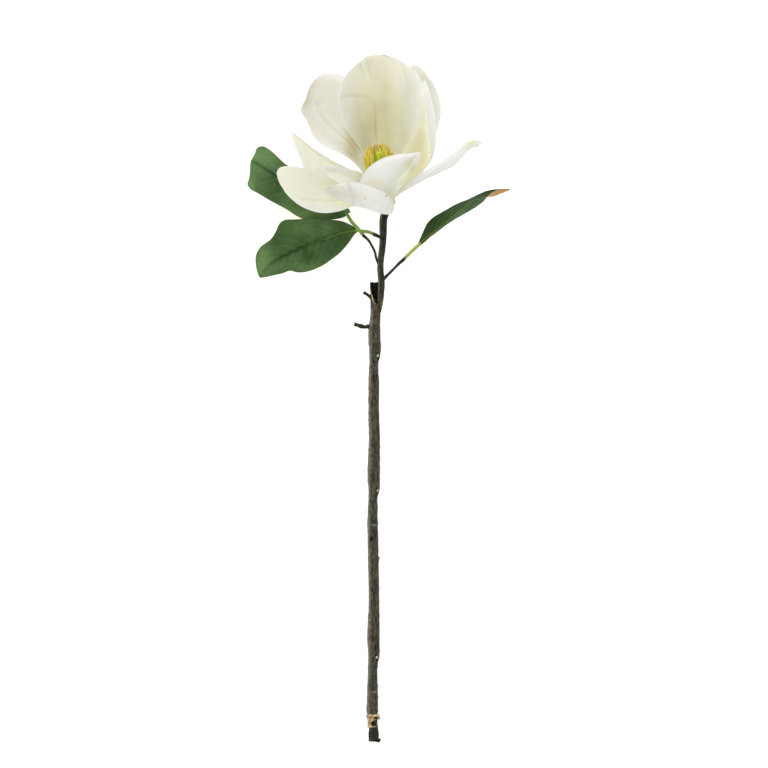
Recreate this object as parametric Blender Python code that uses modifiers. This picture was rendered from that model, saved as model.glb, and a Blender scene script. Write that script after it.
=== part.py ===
"""A cut magnolia stem lying on its back: one open bloom, three leaves and a long bare woody stem.

The table is z = 0, the stem runs along +Y and the bloom is at its +Y end.
Shapes are worked out in millimetres and turned into metres as each mesh is made.
"""
import math
import random

import bmesh
import bpy
import numpy as np
from mathutils import Matrix, Vector

MM = 0.001
GAP = 0.3
SLACK = 0.1
SEED = 7
CURVE_SAMPLES = 321
WELD = 0.00001

# Points of the blades and the stem are given as (x, y, z) on the plan: the place that a point at height z
# shows at to an eye straight above AIM. A high point is nearer the eye, so it is drawn in a little.
AIM = (5.0, 16.0)
EYE_HEIGHT = 4309.0
PLAN_HEIGHT = 42.0

# Bloom
BLOOM_BASE = (5.0, 196.0, 44.0)
BLOOM_AXIS = (-0.08, 0.90, 0.42)
PETAL_THICKNESS = 0.9
PETAL_ROWS = 11
PETAL_COLUMNS = 8
ROW_CROWDING = 1.25
# a blade stops at this share of its rails, later on a blunt petal, whose arch is over the blunt arch
BLUNT_ARCH = 1.3
ROUND_TIP = 0.965
FINE_TIP = 0.94
# a whorl is its height up the axis, its radius and half the angle that a petal's foot takes
INNER_WHORL = (13.0, 9.0, 34.0)
MIDDLE_WHORL = (7.5, 10.0, 28.0)
LOW_WHORL = (6.0, 10.4, 30.0)
LEFT_WHORL = (4.5, 10.9, 23.0)
LOWEST_WHORL = (1.0, 11.8, 24.0)
COLUMN_RADIUS = 4.6
COLUMN_TOP = 36.0
RECEPTACLE_FOOT = -7.0

# Stamens: heights are up the bloom's axis, and radii are out from it
RING_HEIGHTS = (24.0, 35.5)
RING_RADIUS = 7.0
RING_INSET = 1.2
STAMEN_COUNT = 50
STAMEN_RADIUS = 0.85
BRUSH_LOW_TOP = 43.0
BRUSH_TOP = 63.0
BRUSH_RADIUS = 15.0
BRUSH_NARROWING = 0.3
TIP_DRAW = (0.93, 0.45)
STAMEN_SWAY = 9.0

# Carpels
CARPEL_COUNT = 22
CARPEL_TOP = 56.0
CARPEL_BASE_RADIUS = 4.8
CONE_TAPER = 0.62
# a style is its height above its foot, and how far out of the cone's wall it is there
STYLE_STEPS = ((0.0, -1.0), (1.2, 0.7), (2.8, 1.1), (4.0, 0.5))
STYLE_RADII = (0.75, 0.65, 0.5, 0.35)
GOLDEN_ANGLE = 137.5
TURNED_SIDES = 24

# Leaves
LEAF_THICKNESS = 0.8
LEAF_ROWS = 13
LEAF_COLUMNS = 8
LEAF_ARCH = 1.0
STALK_RADIUS = 1.7
STALK_STEPS = 5
MIDRIB_RADIUS = 0.6

# A point of a petal closer to the table than this is pressed onto it
PRESS = 0.2


def plan(x, y, z):
    """The place in space of a point at height z that shows at (x, y) of the plan."""
    scale = (EYE_HEIGHT - z) / (EYE_HEIGHT - PLAN_HEIGHT)
    return np.array([AIM[0] + (x - AIM[0]) * scale, AIM[1] + (y - AIM[1]) * scale, z])


def unit(vector):
    return vector / np.linalg.norm(vector)


AXIS = unit(np.array(BLOOM_AXIS))
FRONT = unit(np.cross([1.0, 0.0, 0.0], AXIS))
RIGHT = np.cross(AXIS, FRONT)


def on_axis(height):
    """A point of the bloom's axis, height up from its base."""
    return plan(*BLOOM_BASE) + AXIS * height


def outward(azimuth):
    """The direction out from the bloom's axis: 0 is right, 90 is up off the table."""
    turn = math.radians(azimuth)
    return math.cos(turn) * RIGHT + math.sin(turn) * FRONT


def claw(azimuth, whorl):
    """Left, middle and right point of a petal's narrow foot."""
    height, radius, spread = whorl
    return [on_axis(height) + outward(azimuth + turn) * radius for turn in (-spread, 0, spread)]


# Each petal is drawn by the rails that run from its foot to its tip: left margin, middle and right margin,
# left and right as seen on the inner face with the tip up. A blunt tip has a higher arch.
PETALS = {
    "petal_back_cup": dict(
        azimuth=268, whorl=INNER_WHORL, arch=1.7, tip=(0, 346, 30), colour=(216, 213, 184),
        left=[(-5, 226, 35), (-16, 248, 34), (-28, 265, 36), (-37, 282, 38), (-40.5, 301, 39),
              (-35.5, 321, 37), (-24, 335, 33), (-12, 343, 31)],
        middle=[(4, 222, 29), (3, 240, 20), (2, 265, 13), (2, 295, 12), (1, 322, 19)],
        right=[(12, 224, 38), (22, 242, 38), (33, 260, 40), (42, 280, 42), (45, 302, 43),
               (40, 324, 40), (29, 335, 35), (15, 343, 32)]),
    "petal_right_inner": dict(
        azimuth=350, whorl=INNER_WHORL, arch=1.3, tip=(45, 321, 60), colour=(229, 228, 204),
        left=[(17, 224, 48), (24, 245, 48), (33, 261, 49), (42, 273, 50), (46, 290, 51), (45, 308, 54)],
        middle=[(27, 221, 49), (42, 236, 56), (52, 253, 64), (55.3, 272, 69), (54, 292, 70), (49, 310, 67)],
        right=[(19, 213, 52), (32, 220, 54), (43, 228, 58), (50.5, 239, 66), (52, 252, 77),
               (49.8, 267, 87), (47.8, 285, 87), (46.3, 305, 79)]),
    "petal_left_narrow": dict(
        azimuth=170, whorl=INNER_WHORL, arch=1.3, tip=(-62, 231.5, 89), colour=(223, 220, 194),
        left=[(-13, 210, 66), (-28, 214, 77), (-41, 218, 83), (-52, 224.5, 87)],
        middle=[(-15, 216, 62), (-29, 223, 71), (-44, 227, 80)],
        right=[(-11, 221, 56), (-19, 228, 62), (-33, 231.5, 72), (-47, 234, 80), (-56, 233.7, 85)]),
    "petal_front_high": dict(
        azimuth=78, whorl=INNER_WHORL, arch=1.3, tip=(42, 248, 101), colour=(231, 231, 222),
        left=[(16.6, 203.6, 71.2), (18.8, 208, 82.5), (17, 212.2, 92), (19.5, 220, 101), (26.5, 228, 106),
              (35, 239, 107)],
        fold=(-0.6, [(13, 202.5, 68), (18.5, 210, 79), (25.5, 216.5, 85), (33.5, 226, 91), (39.7, 237, 96)]),
        middle=[(6, 197, 73), (4, 206, 81), (7, 219, 89), (14, 231, 94), (26, 240, 98)],
        right=[(-3, 198, 66), (-13, 205, 76), (-19.5, 215, 82), (-15.5, 226, 86), (-8, 234.5, 89),
               (3, 241.3, 91), (16, 245.3, 93), (29, 246, 96)]),
    "petal_left_back": dict(
        azimuth=229, whorl=MIDDLE_WHORL, arch=1.2, tip=(-79.5, 290, 16), colour=(225, 226, 213),
        left=[(-10.5, 216, 35.5), (-18, 229.5, 32), (-27, 239, 28), (-37, 246, 25), (-55, 254, 20),
              (-65, 262, 18), (-72, 278, 16)],
        middle=[(-8, 220, 28), (-16, 240, 16), (-27, 259, 7), (-41, 277, 0.6), (-54, 292, 0), (-67, 298, 5)],
        right=[(-2, 216, 28), (-7, 235, 18), (-13, 255, 12), (-19, 280, 10), (-26, 308, 10),
               (-35, 324, 11), (-50, 327, 11), (-62, 323, 12), (-70, 314, 14), (-73, 302, 16)]),
    "petal_right_back": dict(
        azimuth=312, whorl=MIDDLE_WHORL, arch=1.6, tip=(34, 335, 22), colour=(231, 231, 225),
        left=[(16, 224, 26), (22, 250, 17), (26, 275, 13), (29, 300, 12), (28, 318, 15), (28, 329, 19)],
        middle=[(22, 224, 26), (34, 248, 11), (42, 273, 1), (43, 299, 0), (40, 320, 8)],
        right=[(28, 223, 34), (42, 238, 30), (53, 256, 26), (60, 278, 23), (62, 294, 22), (58, 309, 22),
               (50, 323, 22), (42, 332, 22)]),
    "petal_front_low": dict(
        azimuth=112, whorl=LOW_WHORL, arch=1.3, tip=(-56, 208, 95), colour=(226, 222, 206),
        left=[(12, 194, 68), (14.2, 199, 82), (7, 206, 96), (-8, 213, 104), (-23, 217.5, 107),
              (-37, 217, 104), (-48, 213, 100)],
        middle=[(7, 187.5, 66), (9, 188.5, 82), (-2, 196, 96), (-17, 203, 103), (-32, 208, 103),
                (-45, 209.5, 100)],
        right=[(0, 188, 62), (-3, 188, 76), (-14, 191.7, 87), (-28, 196.5, 93), (-42, 201.5, 96)]),
    "petal_left_pointed": dict(
        azimuth=185, whorl=LEFT_WHORL, arch=1.1, tip=(-89, 269, 52), colour=(234, 234, 214),
        left=[(-17, 200, 49), (-33, 204, 49), (-49, 212, 49), (-64, 220, 48), (-74, 229, 48),
              (-79.5, 243, 49), (-85, 257, 51)],
        middle=[(-17, 208, 42), (-32, 220, 40), (-49, 233, 41), (-65, 246, 44), (-78, 258, 48)],
        right=[(-11, 212, 43.5), (-19, 224.5, 44), (-30, 231, 43), (-41, 236, 44), (-55, 244, 46),
               (-68, 253, 49), (-80, 263, 51)]),
    "petal_left_blunt": dict(
        azimuth=141, whorl=LOWEST_WHORL, arch=1.6, tip=(-102.3, 227, 74), colour=(229, 227, 206),
        left=[(-10, 190, 57), (-23, 191.5, 61), (-38, 188.5, 65), (-57, 187, 68), (-73, 191.5, 70),
              (-85, 199, 72), (-94, 208, 74), (-100, 219, 75)],
        middle=[(-15, 195, 56), (-31, 200, 59), (-49, 206, 62), (-67, 212, 65), (-85, 220, 69)],
        right=[(-12, 202, 54.5), (-27, 210, 60), (-44, 219, 64), (-61, 228, 68), (-77, 232.5, 71),
               (-91, 234, 73), (-99.5, 232, 74)]),
    "petal_right_long": dict(
        azimuth=23, whorl=LOW_WHORL, arch=1.2, tip=(102, 258, 91), colour=(229, 229, 222),
        left=[(22, 209, 58), (32, 218, 63), (49, 228, 69), (63, 236, 72), (76, 244.5, 76), (89, 253, 82)],
        middle=[(22, 205.5, 66), (31, 212.5, 76), (48.5, 222.2, 83), (63, 228.8, 86), (75, 235, 88),
                (84, 242.5, 89), (93, 250, 90)],
        right=[(18.5, 211, 72), (32, 220.5, 85), (48.5, 231, 93), (63, 239, 97), (75, 248, 99),
               (88, 257.7, 98), (95, 260, 96)]),
}

# Each leaf is drawn the same way, from its stalk to its tip. fold is how sharp the crease at the midrib is.
LEAVES = {
    "leaf_upper": dict(
        start=(-31.5, 186, 26), tip=(-117, 232, 5), fold=0.45, wave=(0.8, 3), colour=(82, 109, 66),
        left=[(-35.5, 182.7, 25), (-47, 180.5, 23), (-61, 180.5, 22), (-75, 180.8, 22), (-82, 183.8, 22),
              (-93, 191, 22), (-108, 199, 21.5), (-121, 206.7, 21), (-129, 211.3, 19), (-131.5, 216, 14),
              (-128, 223, 8)],
        middle=[(-43, 193, 21), (-61, 203, 18), (-81, 214, 17), (-103, 224.5, 16.5), (-115, 232, 16.5),
                (-124.5, 238, 15), (-128.2, 238.5, 11), (-124.5, 235.5, 7)],
        right=[(-36, 194, 26), (-49, 204, 25), (-67, 216, 25), (-81, 228, 25), (-94, 236.5, 25),
               (-100, 241.7, 25), (-107, 248.2, 25), (-115.5, 253.6, 24), (-121, 252.7, 20), (-123, 248, 14)],
        stalk=[(-31.5, 185, 26.5), (-27.5, 178.5, 31), (-23, 173.5, 36.5), (-19, 169, 39),
               (-15.8, 164.8, 40)]),
    "leaf_lower": dict(
        start=(-21.5, 169.8, 33), tip=(-119.5, 122, 9), fold=0.45, wave=(0.8, 3), colour=(76, 103, 64),
        left=[(-24, 166, 31.5), (-29, 159, 29), (-39, 147.3, 27), (-48, 140.3, 26), (-58, 133.7, 25),
              (-73, 128.2, 24), (-82, 127.7, 23.5), (-89, 129.3, 23), (-96, 126.8, 21), (-104, 125, 18),
              (-113, 123, 13)],
        middle=[(-35, 167.5, 28), (-49, 163, 24), (-63.5, 158, 22), (-78, 152, 21), (-91, 146, 20.5),
                (-102, 140, 19), (-112, 132, 15)],
        right=[(-27, 174.5, 32), (-38, 179, 31), (-52, 180.5, 30), (-68, 181.5, 29), (-86, 180.5, 28),
               (-94, 180.2, 28), (-99.5, 176.5, 27.5), (-104, 167, 27), (-108.5, 160.5, 26), (-118, 153.5, 22),
               (-122.7, 146, 18), (-123.5, 138, 15), (-122, 129, 11)],
        stalk=[(-21.5, 169.7, 32.8), (-17, 168.8, 33.5), (-11, 168.2, 35), (-5.2, 165.8, 36)]),
    "leaf_right": dict(
        start=(40.5, 156.2, 47.5), tip=(132, 211, 62), fold=0.8, wave=(0.6, 3), colour=(71, 93, 57),
        left=[(41, 161, 44), (44, 168, 40), (49, 177.7, 37), (55, 183.3, 36), (63.5, 188.2, 36),
              (76, 195, 38), (86, 199.4, 40), (99, 205.3, 45), (108, 209, 49), (117, 210.7, 54)],
        middle=[(49, 163, 48), (61, 172, 50), (73, 181, 52), (85, 189.5, 54), (96, 197, 56), (107, 203, 58),
                (119, 207.7, 60)],
        right=[(44.5, 157, 51), (52, 163.3, 58), (60, 170, 64), (67, 175, 67), (79, 182.5, 70),
               (90, 188.7, 71), (99, 194.5, 70), (108, 200.5, 68), (117, 204.7, 66), (126, 208, 64)],
        stalk=[(40.5, 155.7, 47.3), (32.5, 148.5, 45), (26, 142, 41.5)]),
}

# Stem: (x, y, z, radius). It thickens up to each leaf scar and steps in past it.
STEM = [
    (-4.6, -341.6, 5.8, 6.0), (-5.3, -338, 5.8, 5.1), (-5.5, -330.5, 6.0, 4.9), (-5.8, -329.3, 6.0, 4.5),
    (-5.9, -312.4, 6.2, 4.5), (-6.2, -311.2, 6.3, 5.4), (-6.5, -290, 6.7, 5.3), (-6.0, -262, 7.4, 4.9),
    (-5.2, -256, 7.6, 5.6), (-5.6, -240, 8.0, 6.2), (-5.1, -200, 9.0, 5.3), (-5.8, -155, 10.5, 5.4),
    (-6.4, -120, 12.0, 5.2), (-6.0, -97, 12.9, 4.7), (-5.0, -90, 13.2, 5.5), (-5.4, -80, 13.6, 6.2),
    (-4.7, -40, 15.4, 5.6), (-5.3, -15, 16.6, 5.4), (-5.3, 15, 18.2, 5.4), (-5.1, 38, 19.3, 4.7),
    (-4.1, 46, 19.7, 5.7), (-4.7, 70, 21.0, 6.0), (-3.9, 80, 21.6, 5.3), (-3.6, 90, 22.2, 4.8),
    (-3.4, 96.5, 22.6, 4.5)]
UPPER_STEM = [
    (0.6, 84, 23.0, 2.6), (1.6, 96, 24.5, 3.0), (2.2, 110, 26.5, 3.3), (2.4, 119, 27.4, 3.4),
    (1.4, 130, 28.6, 3.2), (1.8, 140, 29.6, 3.2), (3.0, 150, 30.6, 3.35), (3.9, 160, 32.0, 3.5),
    (4.2, 170, 33.8, 3.75), (4.4, 180, 36.6, 4.0)]
TWIGS = {
    "twig_to_lower_leaf": [(5.0, 160.3, 33.5, 1.7), (0.5, 163.2, 36.4, 1.6), (-4.7, 165.6, 36.1, 1.9)],
    "twig_to_upper_leaf": [(1.0, 132, 29.0, 1.3), (-2.6, 141, 30.6, 1.2), (-4.2, 148, 32.5, 1.2),
                           (-7.3, 154.5, 35.5, 1.2), (-11.0, 160.3, 38.3, 1.3), (-15.0, 163.8, 39.7, 1.5)],
    "twig_to_right_leaf": [(2.5, 119, 27.5, 1.9), (9.0, 125.4, 31.5, 1.5), (16.0, 132.5, 35.8, 1.4),
                           (25.4, 141.4, 41.1, 1.6)],
    "stub_upper": [(-4.0, 98, 23.5, 1.9), (-8.0, 102.5, 24.5, 1.5), (-12.0, 105.6, 25.0, 1.2),
                   (-15.6, 107.8, 25.2, 1.4)],
    "stub_lower": [(-5.0, 70, 21.6, 2.3), (-11.0, 73.5, 22.6, 1.8), (-13.5, 72.9, 22.8, 1.4),
                   (-18.5, 74.0, 23.2, 1.9), (-21.5, 75.0, 23.2, 1.5), (-25.0, 75.9, 23.3, 1.6)],
}
STUB_SMOOTHNESS = 2
STEM_SMOOTHNESS = 4

# Torn sleeve of bark round the foot of the upper stem
SLEEVE_HEAD = (-3.8, 114, 23.8)
SLEEVE_RADIUS = 4.4
SLEEVE_WALL = 1.0
SLEEVE_TEAR = 17.0
SLEEVE_TURN = 0.3
SLEEVE_RAGGED = 1.6
SLEEVE_COLUMNS = 16
SLEEVE_ROWS = 4

# Scrap of inner bark near the cut end
BAND_Y = (-313.9, -315.9, -318.0, -321.5, -325.8, -328.0)
BAND_WALL = 0.8
BAND_COLUMNS = 24
BAND_STEM_STATION = 4
BAND_RAGGED = 0.5
BAND_RAGGED_ROWS = (0, 2, 3, 4, 5)
BAND_LIFT = 0.3
BAND_NUB_LIFT = 1.2
BAND_NUB_ROWS = (1, 2)
BAND_NUB_COLUMNS = (0, 1)


def clear_scene():
    for obj in list(bpy.data.objects):
        bpy.data.objects.remove(obj, do_unlink=True)


def linear(channel):
    share = channel / 255.0
    return share / 12.92 if share <= 0.04045 else ((share + 0.055) / 1.055) ** 2.4


def paint(obj, colour, roughness):
    """Gives the object a Principled material of its own."""
    mat = bpy.data.materials.new(obj.name + "_finish")
    mat.use_nodes = True
    shader = mat.node_tree.nodes["Principled BSDF"]
    shader.inputs["Base Color"].default_value = [linear(c) for c in colour] + [1.0]
    shader.inputs["Roughness"].default_value = roughness
    shader.inputs["Metallic"].default_value = 0.0
    obj.data.materials.clear()
    obj.data.materials.append(mat)


def new_object(name, mesh, collection):
    obj = bpy.data.objects.new(name, mesh)
    collection.objects.link(obj)
    return obj


def bake(obj):
    """Applies every modifier and stands the mesh in the scene's own axes."""
    bpy.context.view_layer.update()
    evaluated = obj.evaluated_get(bpy.context.evaluated_depsgraph_get())
    mesh = bpy.data.meshes.new_from_object(evaluated)
    mesh.transform(obj.matrix_world)
    obj.modifiers.clear()
    obj.data = mesh
    obj.matrix_world.identity()


def fuse(obj, collection):
    """Joins everything in the collection to the object as one body, and empties the collection."""
    union = obj.modifiers.new("union", "BOOLEAN")
    union.operation = "UNION"
    union.operand_type = "COLLECTION"
    union.collection = collection
    union.solver = "EXACT"
    bake(obj)
    for part in list(collection.objects):
        bpy.data.objects.remove(part, do_unlink=True)


def blend(x, start, end, first, second):
    """Straight blend from first, at start, to second, at end."""
    return ((end - x) * first + (x - start) * second) / (end - start)


def through(knots, points, x):
    """A smooth (Catmull-Rom) curve that passes the points at the knots, read at each x."""
    padded = np.concatenate([[2 * points[0] - points[1]], points, [2 * points[-1] - points[-2]]])
    times = np.concatenate([[2 * knots[0] - knots[1]], knots, [2 * knots[-1] - knots[-2]]])
    i = np.clip(np.searchsorted(knots, x, side="right"), 1, len(points) - 1)
    column = (-1,) + (1,) * (points.ndim - 1)
    p = [padded[i + k] for k in (-1, 0, 1, 2)]
    t = [times[i + k].reshape(column) for k in (-1, 0, 1, 2)]
    x = x.reshape(column)
    a = [blend(x, t[k], t[k + 1], p[k], p[k + 1]) for k in range(3)]
    b = [blend(x, t[k], t[k + 2], a[k], a[k + 1]) for k in range(2)]
    return blend(x, t[1], t[2], b[0], b[1])


def smooth_curve(points, shares):
    """Points at the given shares of the length of a smooth curve through the given points."""
    points = np.asarray(points, float)
    steps = np.linalg.norm(np.diff(points[:, :3], axis=0), axis=1) ** 0.5
    knots = np.concatenate([[0.0], np.cumsum(steps)])
    curve = through(knots, points, np.linspace(0.0, knots[-1], CURVE_SAMPLES))
    lengths = np.linalg.norm(np.diff(curve[:, :3], axis=0), axis=1)
    run = np.concatenate([[0.0], np.cumsum(lengths)])
    want = np.asarray(shares) * run[-1]
    return np.stack([np.interp(want, run, values) for values in curve.T], -1)


def loft(rails, places, arch, end, rows, columns):
    """A grid of points on the blade that the rails draw, up to the share end of their length.

    Row 0 is the foot and column 0 the left margin. Towards a blunt tip the inner rails run ahead of the
    margins, by the arch, so that rows follow the round of the tip.
    """
    along = end * (1 - (1 - np.linspace(0, 1, rows + 1)) ** ROW_CROWDING)
    lines = []
    for rail, place in zip(rails, places):
        ahead = 1 + (arch - 1) * (1 - place * place)
        lines.append(smooth_curve(rail, 1 - (1 - along) ** ahead))
    lines = np.stack(lines)
    v = np.linspace(-1, 1, columns + 1)
    if len(lines) > 3:
        return through(np.asarray(places), lines, v).swapaxes(0, 1)
    left, middle, right = lines[:, :, None, :]
    v = v[None, :, None]
    return middle + (right - left) * v / 2 + ((left + right) / 2 - middle) * v * v


def creased(grid, fold):
    """Turns the round section of a leaf blade part of the way to a straight V at its midrib."""
    columns = grid.shape[1]
    centre = columns // 2
    v = np.abs(np.linspace(-1, 1, columns))[None, :, None]
    middle = grid[:, centre:centre + 1]
    straight_left = middle + (grid[:, :1] - middle) * v
    straight_right = middle + (grid[:, -1:] - middle) * v
    straight = np.where(np.arange(columns)[None, :, None] < centre, straight_left, straight_right)
    return grid + (straight - grid) * fold


def waved(grid, height, count):
    """Lifts and drops the margins of a leaf blade in soft waves."""
    rows, columns = grid.shape[:2]
    along = np.linspace(0, 1, rows)[:, None]
    v = np.linspace(-1, 1, columns)[None, :]
    turn = 2 * np.pi * count * along + np.where(v < 0, 0.0, np.pi / 2)
    lift = height * np.abs(v) ** 3 * np.sin(turn) * np.sin(np.pi * along)
    out = grid.copy()
    out[..., 2] += lift
    return out


def sheet(name, grid, thickness, collection):
    """A closed blade of even thickness on both sides of the grid. The table presses its low points flat."""
    grid = grid.copy()
    grid[..., 2] = np.maximum(grid[..., 2], thickness / 2)
    rows, columns = grid.shape[:2]
    mesh = bmesh.new()
    verts = [[mesh.verts.new(grid[r, c] * MM) for c in range(columns)] for r in range(rows)]
    for r in range(rows - 1):
        for c in range(columns - 1):
            a, b, d, e = verts[r][c], verts[r][c + 1], verts[r + 1][c + 1], verts[r + 1][c]
            if c < columns // 2:
                mesh.faces.new((a, b, d))
                mesh.faces.new((a, d, e))
            else:
                mesh.faces.new((a, b, e))
                mesh.faces.new((b, d, e))
    data = bpy.data.meshes.new(name)
    mesh.to_mesh(data)
    mesh.free()
    obj = new_object(name, data, collection)
    shell = obj.modifiers.new("thickness", "SOLIDIFY")
    shell.thickness = thickness * MM
    shell.offset = 0.0
    bake(obj)
    return obj


def press_flat(obj):
    """Lays every point that is within PRESS of the table, or under it, on the table."""
    for vert in obj.data.vertices:
        if vert.co.z < PRESS * MM:
            vert.co.z = 0.0


def smooth(obj, angle=50):
    obj.data.shade_smooth()
    obj.data.set_sharp_from_angle(angle=math.radians(angle))


def rod(name, points, radii, smoothness, collection):
    """A closed rod along the points, its radius given at each. It has 2 * smoothness + 4 sides."""
    curve = bpy.data.curves.new(name, "CURVE")
    curve.dimensions = "3D"
    curve.bevel_depth = MM
    curve.bevel_resolution = smoothness
    curve.use_fill_caps = True
    spline = curve.splines.new("POLY")
    spline.points.add(len(points) - 1)
    for spot, point, radius in zip(spline.points, points, radii):
        spot.co = (*(np.asarray(point) * MM), 1.0)
        spot.radius = radius
    guide = new_object(name + "_route", curve, collection)
    bpy.context.view_layer.update()
    mesh = bpy.data.meshes.new_from_object(guide.evaluated_get(bpy.context.evaluated_depsgraph_get()))
    bpy.data.objects.remove(guide, do_unlink=True)
    bpy.data.curves.remove(curve)
    clean = bmesh.new()
    clean.from_mesh(mesh)
    bmesh.ops.remove_doubles(clean, verts=clean.verts, dist=WELD)
    bmesh.ops.recalc_face_normals(clean, faces=clean.faces)
    clean.to_mesh(mesh)
    clean.free()
    return new_object(name, mesh, collection)


def tapered_rod(name, stations, collection):
    """A rod that runs smoothly through (x, y, z, radius) stations on the plan."""
    spots = np.array([[*plan(x, y, z), radius] for x, y, z, radius in stations])
    read = smooth_curve(spots, np.linspace(0, 1, len(stations) + 2))
    return rod(name, read[:, :3], read[:, 3], STUB_SMOOTHNESS, collection)


def turned(name, profile, sides, collection):
    """A solid turned round the bloom's axis from (radius, height) points, listed from the top down."""
    mesh = bpy.data.meshes.new(name)
    points = [(radius * MM, 0.0, height * MM) for radius, height in profile]
    mesh.from_pydata(points, [(i, i + 1) for i in range(len(points) - 1)], [])
    obj = new_object(name, mesh, collection)
    screw = obj.modifiers.new("turn", "SCREW")
    screw.axis = "Z"
    screw.steps = sides
    screw.render_steps = sides
    screw.use_merge_vertices = True
    screw.merge_threshold = WELD
    bake(obj)
    frame = Matrix((RIGHT, np.cross(AXIS, RIGHT), AXIS)).transposed().to_4x4()
    frame.translation = Vector(on_axis(0) * MM)
    obj.data.transform(frame)
    return obj


def make_petals(collection):
    for name, petal in PETALS.items():
        feet = claw(petal["azimuth"], petal["whorl"])
        tip = plan(*petal["tip"])
        rails = [[foot] + [plan(*p) for p in petal[side]] + [tip]
                 for foot, side in zip(feet, ("left", "middle", "right"))]
        places = [-1.0, 0.0, 1.0]
        if "fold" in petal:
            place, points = petal["fold"]
            start = feet[1] + (feet[0] - feet[1]) * -place
            rails.insert(1, [start] + [plan(*p) for p in points] + [tip])
            places.insert(1, place)
        end = ROUND_TIP if petal["arch"] > BLUNT_ARCH else FINE_TIP
        grid = loft(rails, places, petal["arch"], end, PETAL_ROWS, PETAL_COLUMNS)
        obj = sheet(name, grid, PETAL_THICKNESS, collection)
        press_flat(obj)
        paint(obj, petal["colour"], 0.55)
        smooth(obj)


def make_leaf(name, leaf, collection, joins):
    """A leaf blade with its midrib and stalk, fused as one."""
    start, tip = plan(*leaf["start"]), plan(*leaf["tip"])
    ahead = plan(*leaf["middle"][0]) - start
    side = unit(np.cross(ahead, [0.0, 0.0, 1.0])) * STALK_RADIUS
    rails = [[start + side * place] + [plan(*p) for p in leaf[key]] + [tip]
             for place, key in ((-1, "left"), (0, "middle"), (1, "right"))]
    grid = loft(rails, [-1.0, 0.0, 1.0], LEAF_ARCH, ROUND_TIP, LEAF_ROWS, LEAF_COLUMNS)
    grid = waved(creased(grid, leaf["fold"]), *leaf["wave"])
    obj = sheet(name, grid, LEAF_THICKNESS, collection)

    stalk = [plan(*p) for p in leaf["stalk"]][::-1]
    rib = list(grid[1:LEAF_ROWS - 1:2, LEAF_COLUMNS // 2])
    route = smooth_curve(stalk, np.linspace(0, 1, STALK_STEPS))
    points = list(route) + rib
    radii = [STALK_RADIUS] * len(route) + list(np.linspace(STALK_RADIUS * 0.8, MIDRIB_RADIUS, len(rib)))
    rod(name + "_stalk", points, radii, 1, joins)
    fuse(obj, joins)
    press_flat(obj)
    paint(obj, leaf["colour"], 0.4)
    smooth(obj)


def make_leaves(collection, joins):
    for name, leaf in LEAVES.items():
        make_leaf(name, leaf, collection, joins)


def make_sleeve(collection):
    """The torn open bark above the thick stem: its front wall is gone and its top is ragged."""
    rng = random.Random(SEED)
    foot = plan(*STEM[-2][:3])
    head = plan(*SLEEVE_HEAD)
    rise = unit(head - foot)
    sideways = unit(np.cross(rise, [0.0, 0.0, 1.0]))
    up = np.cross(sideways, rise)
    mesh = bmesh.new()
    rings = [[] for _ in range(SLEEVE_ROWS + 1)]
    for c in range(SLEEVE_COLUMNS):
        angle = 2 * math.pi * c / SLEEVE_COLUMNS
        out = math.cos(angle) * sideways + math.sin(angle) * up
        # the wall is tall behind and to the left, and torn low in front
        tear = SLEEVE_TEAR * max(0.0, math.sin(angle + SLEEVE_TURN)) ** 0.7
        tall = np.linalg.norm(head - foot) - tear - rng.uniform(0.0, SLEEVE_RAGGED)
        for r in range(SLEEVE_ROWS + 1):
            point = foot + rise * (tall * r / SLEEVE_ROWS) + out * SLEEVE_RADIUS
            rings[r].append(mesh.verts.new(point * MM))
    for r in range(SLEEVE_ROWS):
        for c in range(SLEEVE_COLUMNS):
            d = (c + 1) % SLEEVE_COLUMNS
            mesh.faces.new((rings[r][c], rings[r][d], rings[r + 1][d], rings[r + 1][c]))
    data = bpy.data.meshes.new("sleeve")
    mesh.to_mesh(data)
    mesh.free()
    obj = new_object("sleeve", data, collection)
    shell = obj.modifiers.new("thickness", "SOLIDIFY")
    shell.thickness = SLEEVE_WALL * MM
    shell.offset = 0.0
    bake(obj)
    return obj


def make_stem(collection, joins):
    """The woody stem, with its thin upper length, torn sleeve, twigs and cut stubs, fused as one."""
    spots = np.array([[*plan(x, y, z), radius] for x, y, z, radius in STEM])
    obj = rod("stem", spots[:, :3], spots[:, 3], STEM_SMOOTHNESS, collection)
    top_radius = UPPER_STEM[-1][3]
    upper = [[*plan(x, y, z), radius] for x, y, z, radius in UPPER_STEM]
    upper.append([*on_axis(RECEPTACLE_FOOT - 3.0), top_radius])
    upper.append([*on_axis(RECEPTACLE_FOOT - GAP), top_radius])
    spots = np.array(upper)
    rod("upper_stem", spots[:, :3], spots[:, 3], STEM_SMOOTHNESS - 1, joins)
    for name, stations in TWIGS.items():
        tapered_rod(name, stations, joins)
    make_sleeve(joins)
    fuse(obj, joins)
    press_flat(obj)
    paint(obj, (72, 69, 56), 0.75)
    smooth(obj)


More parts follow.
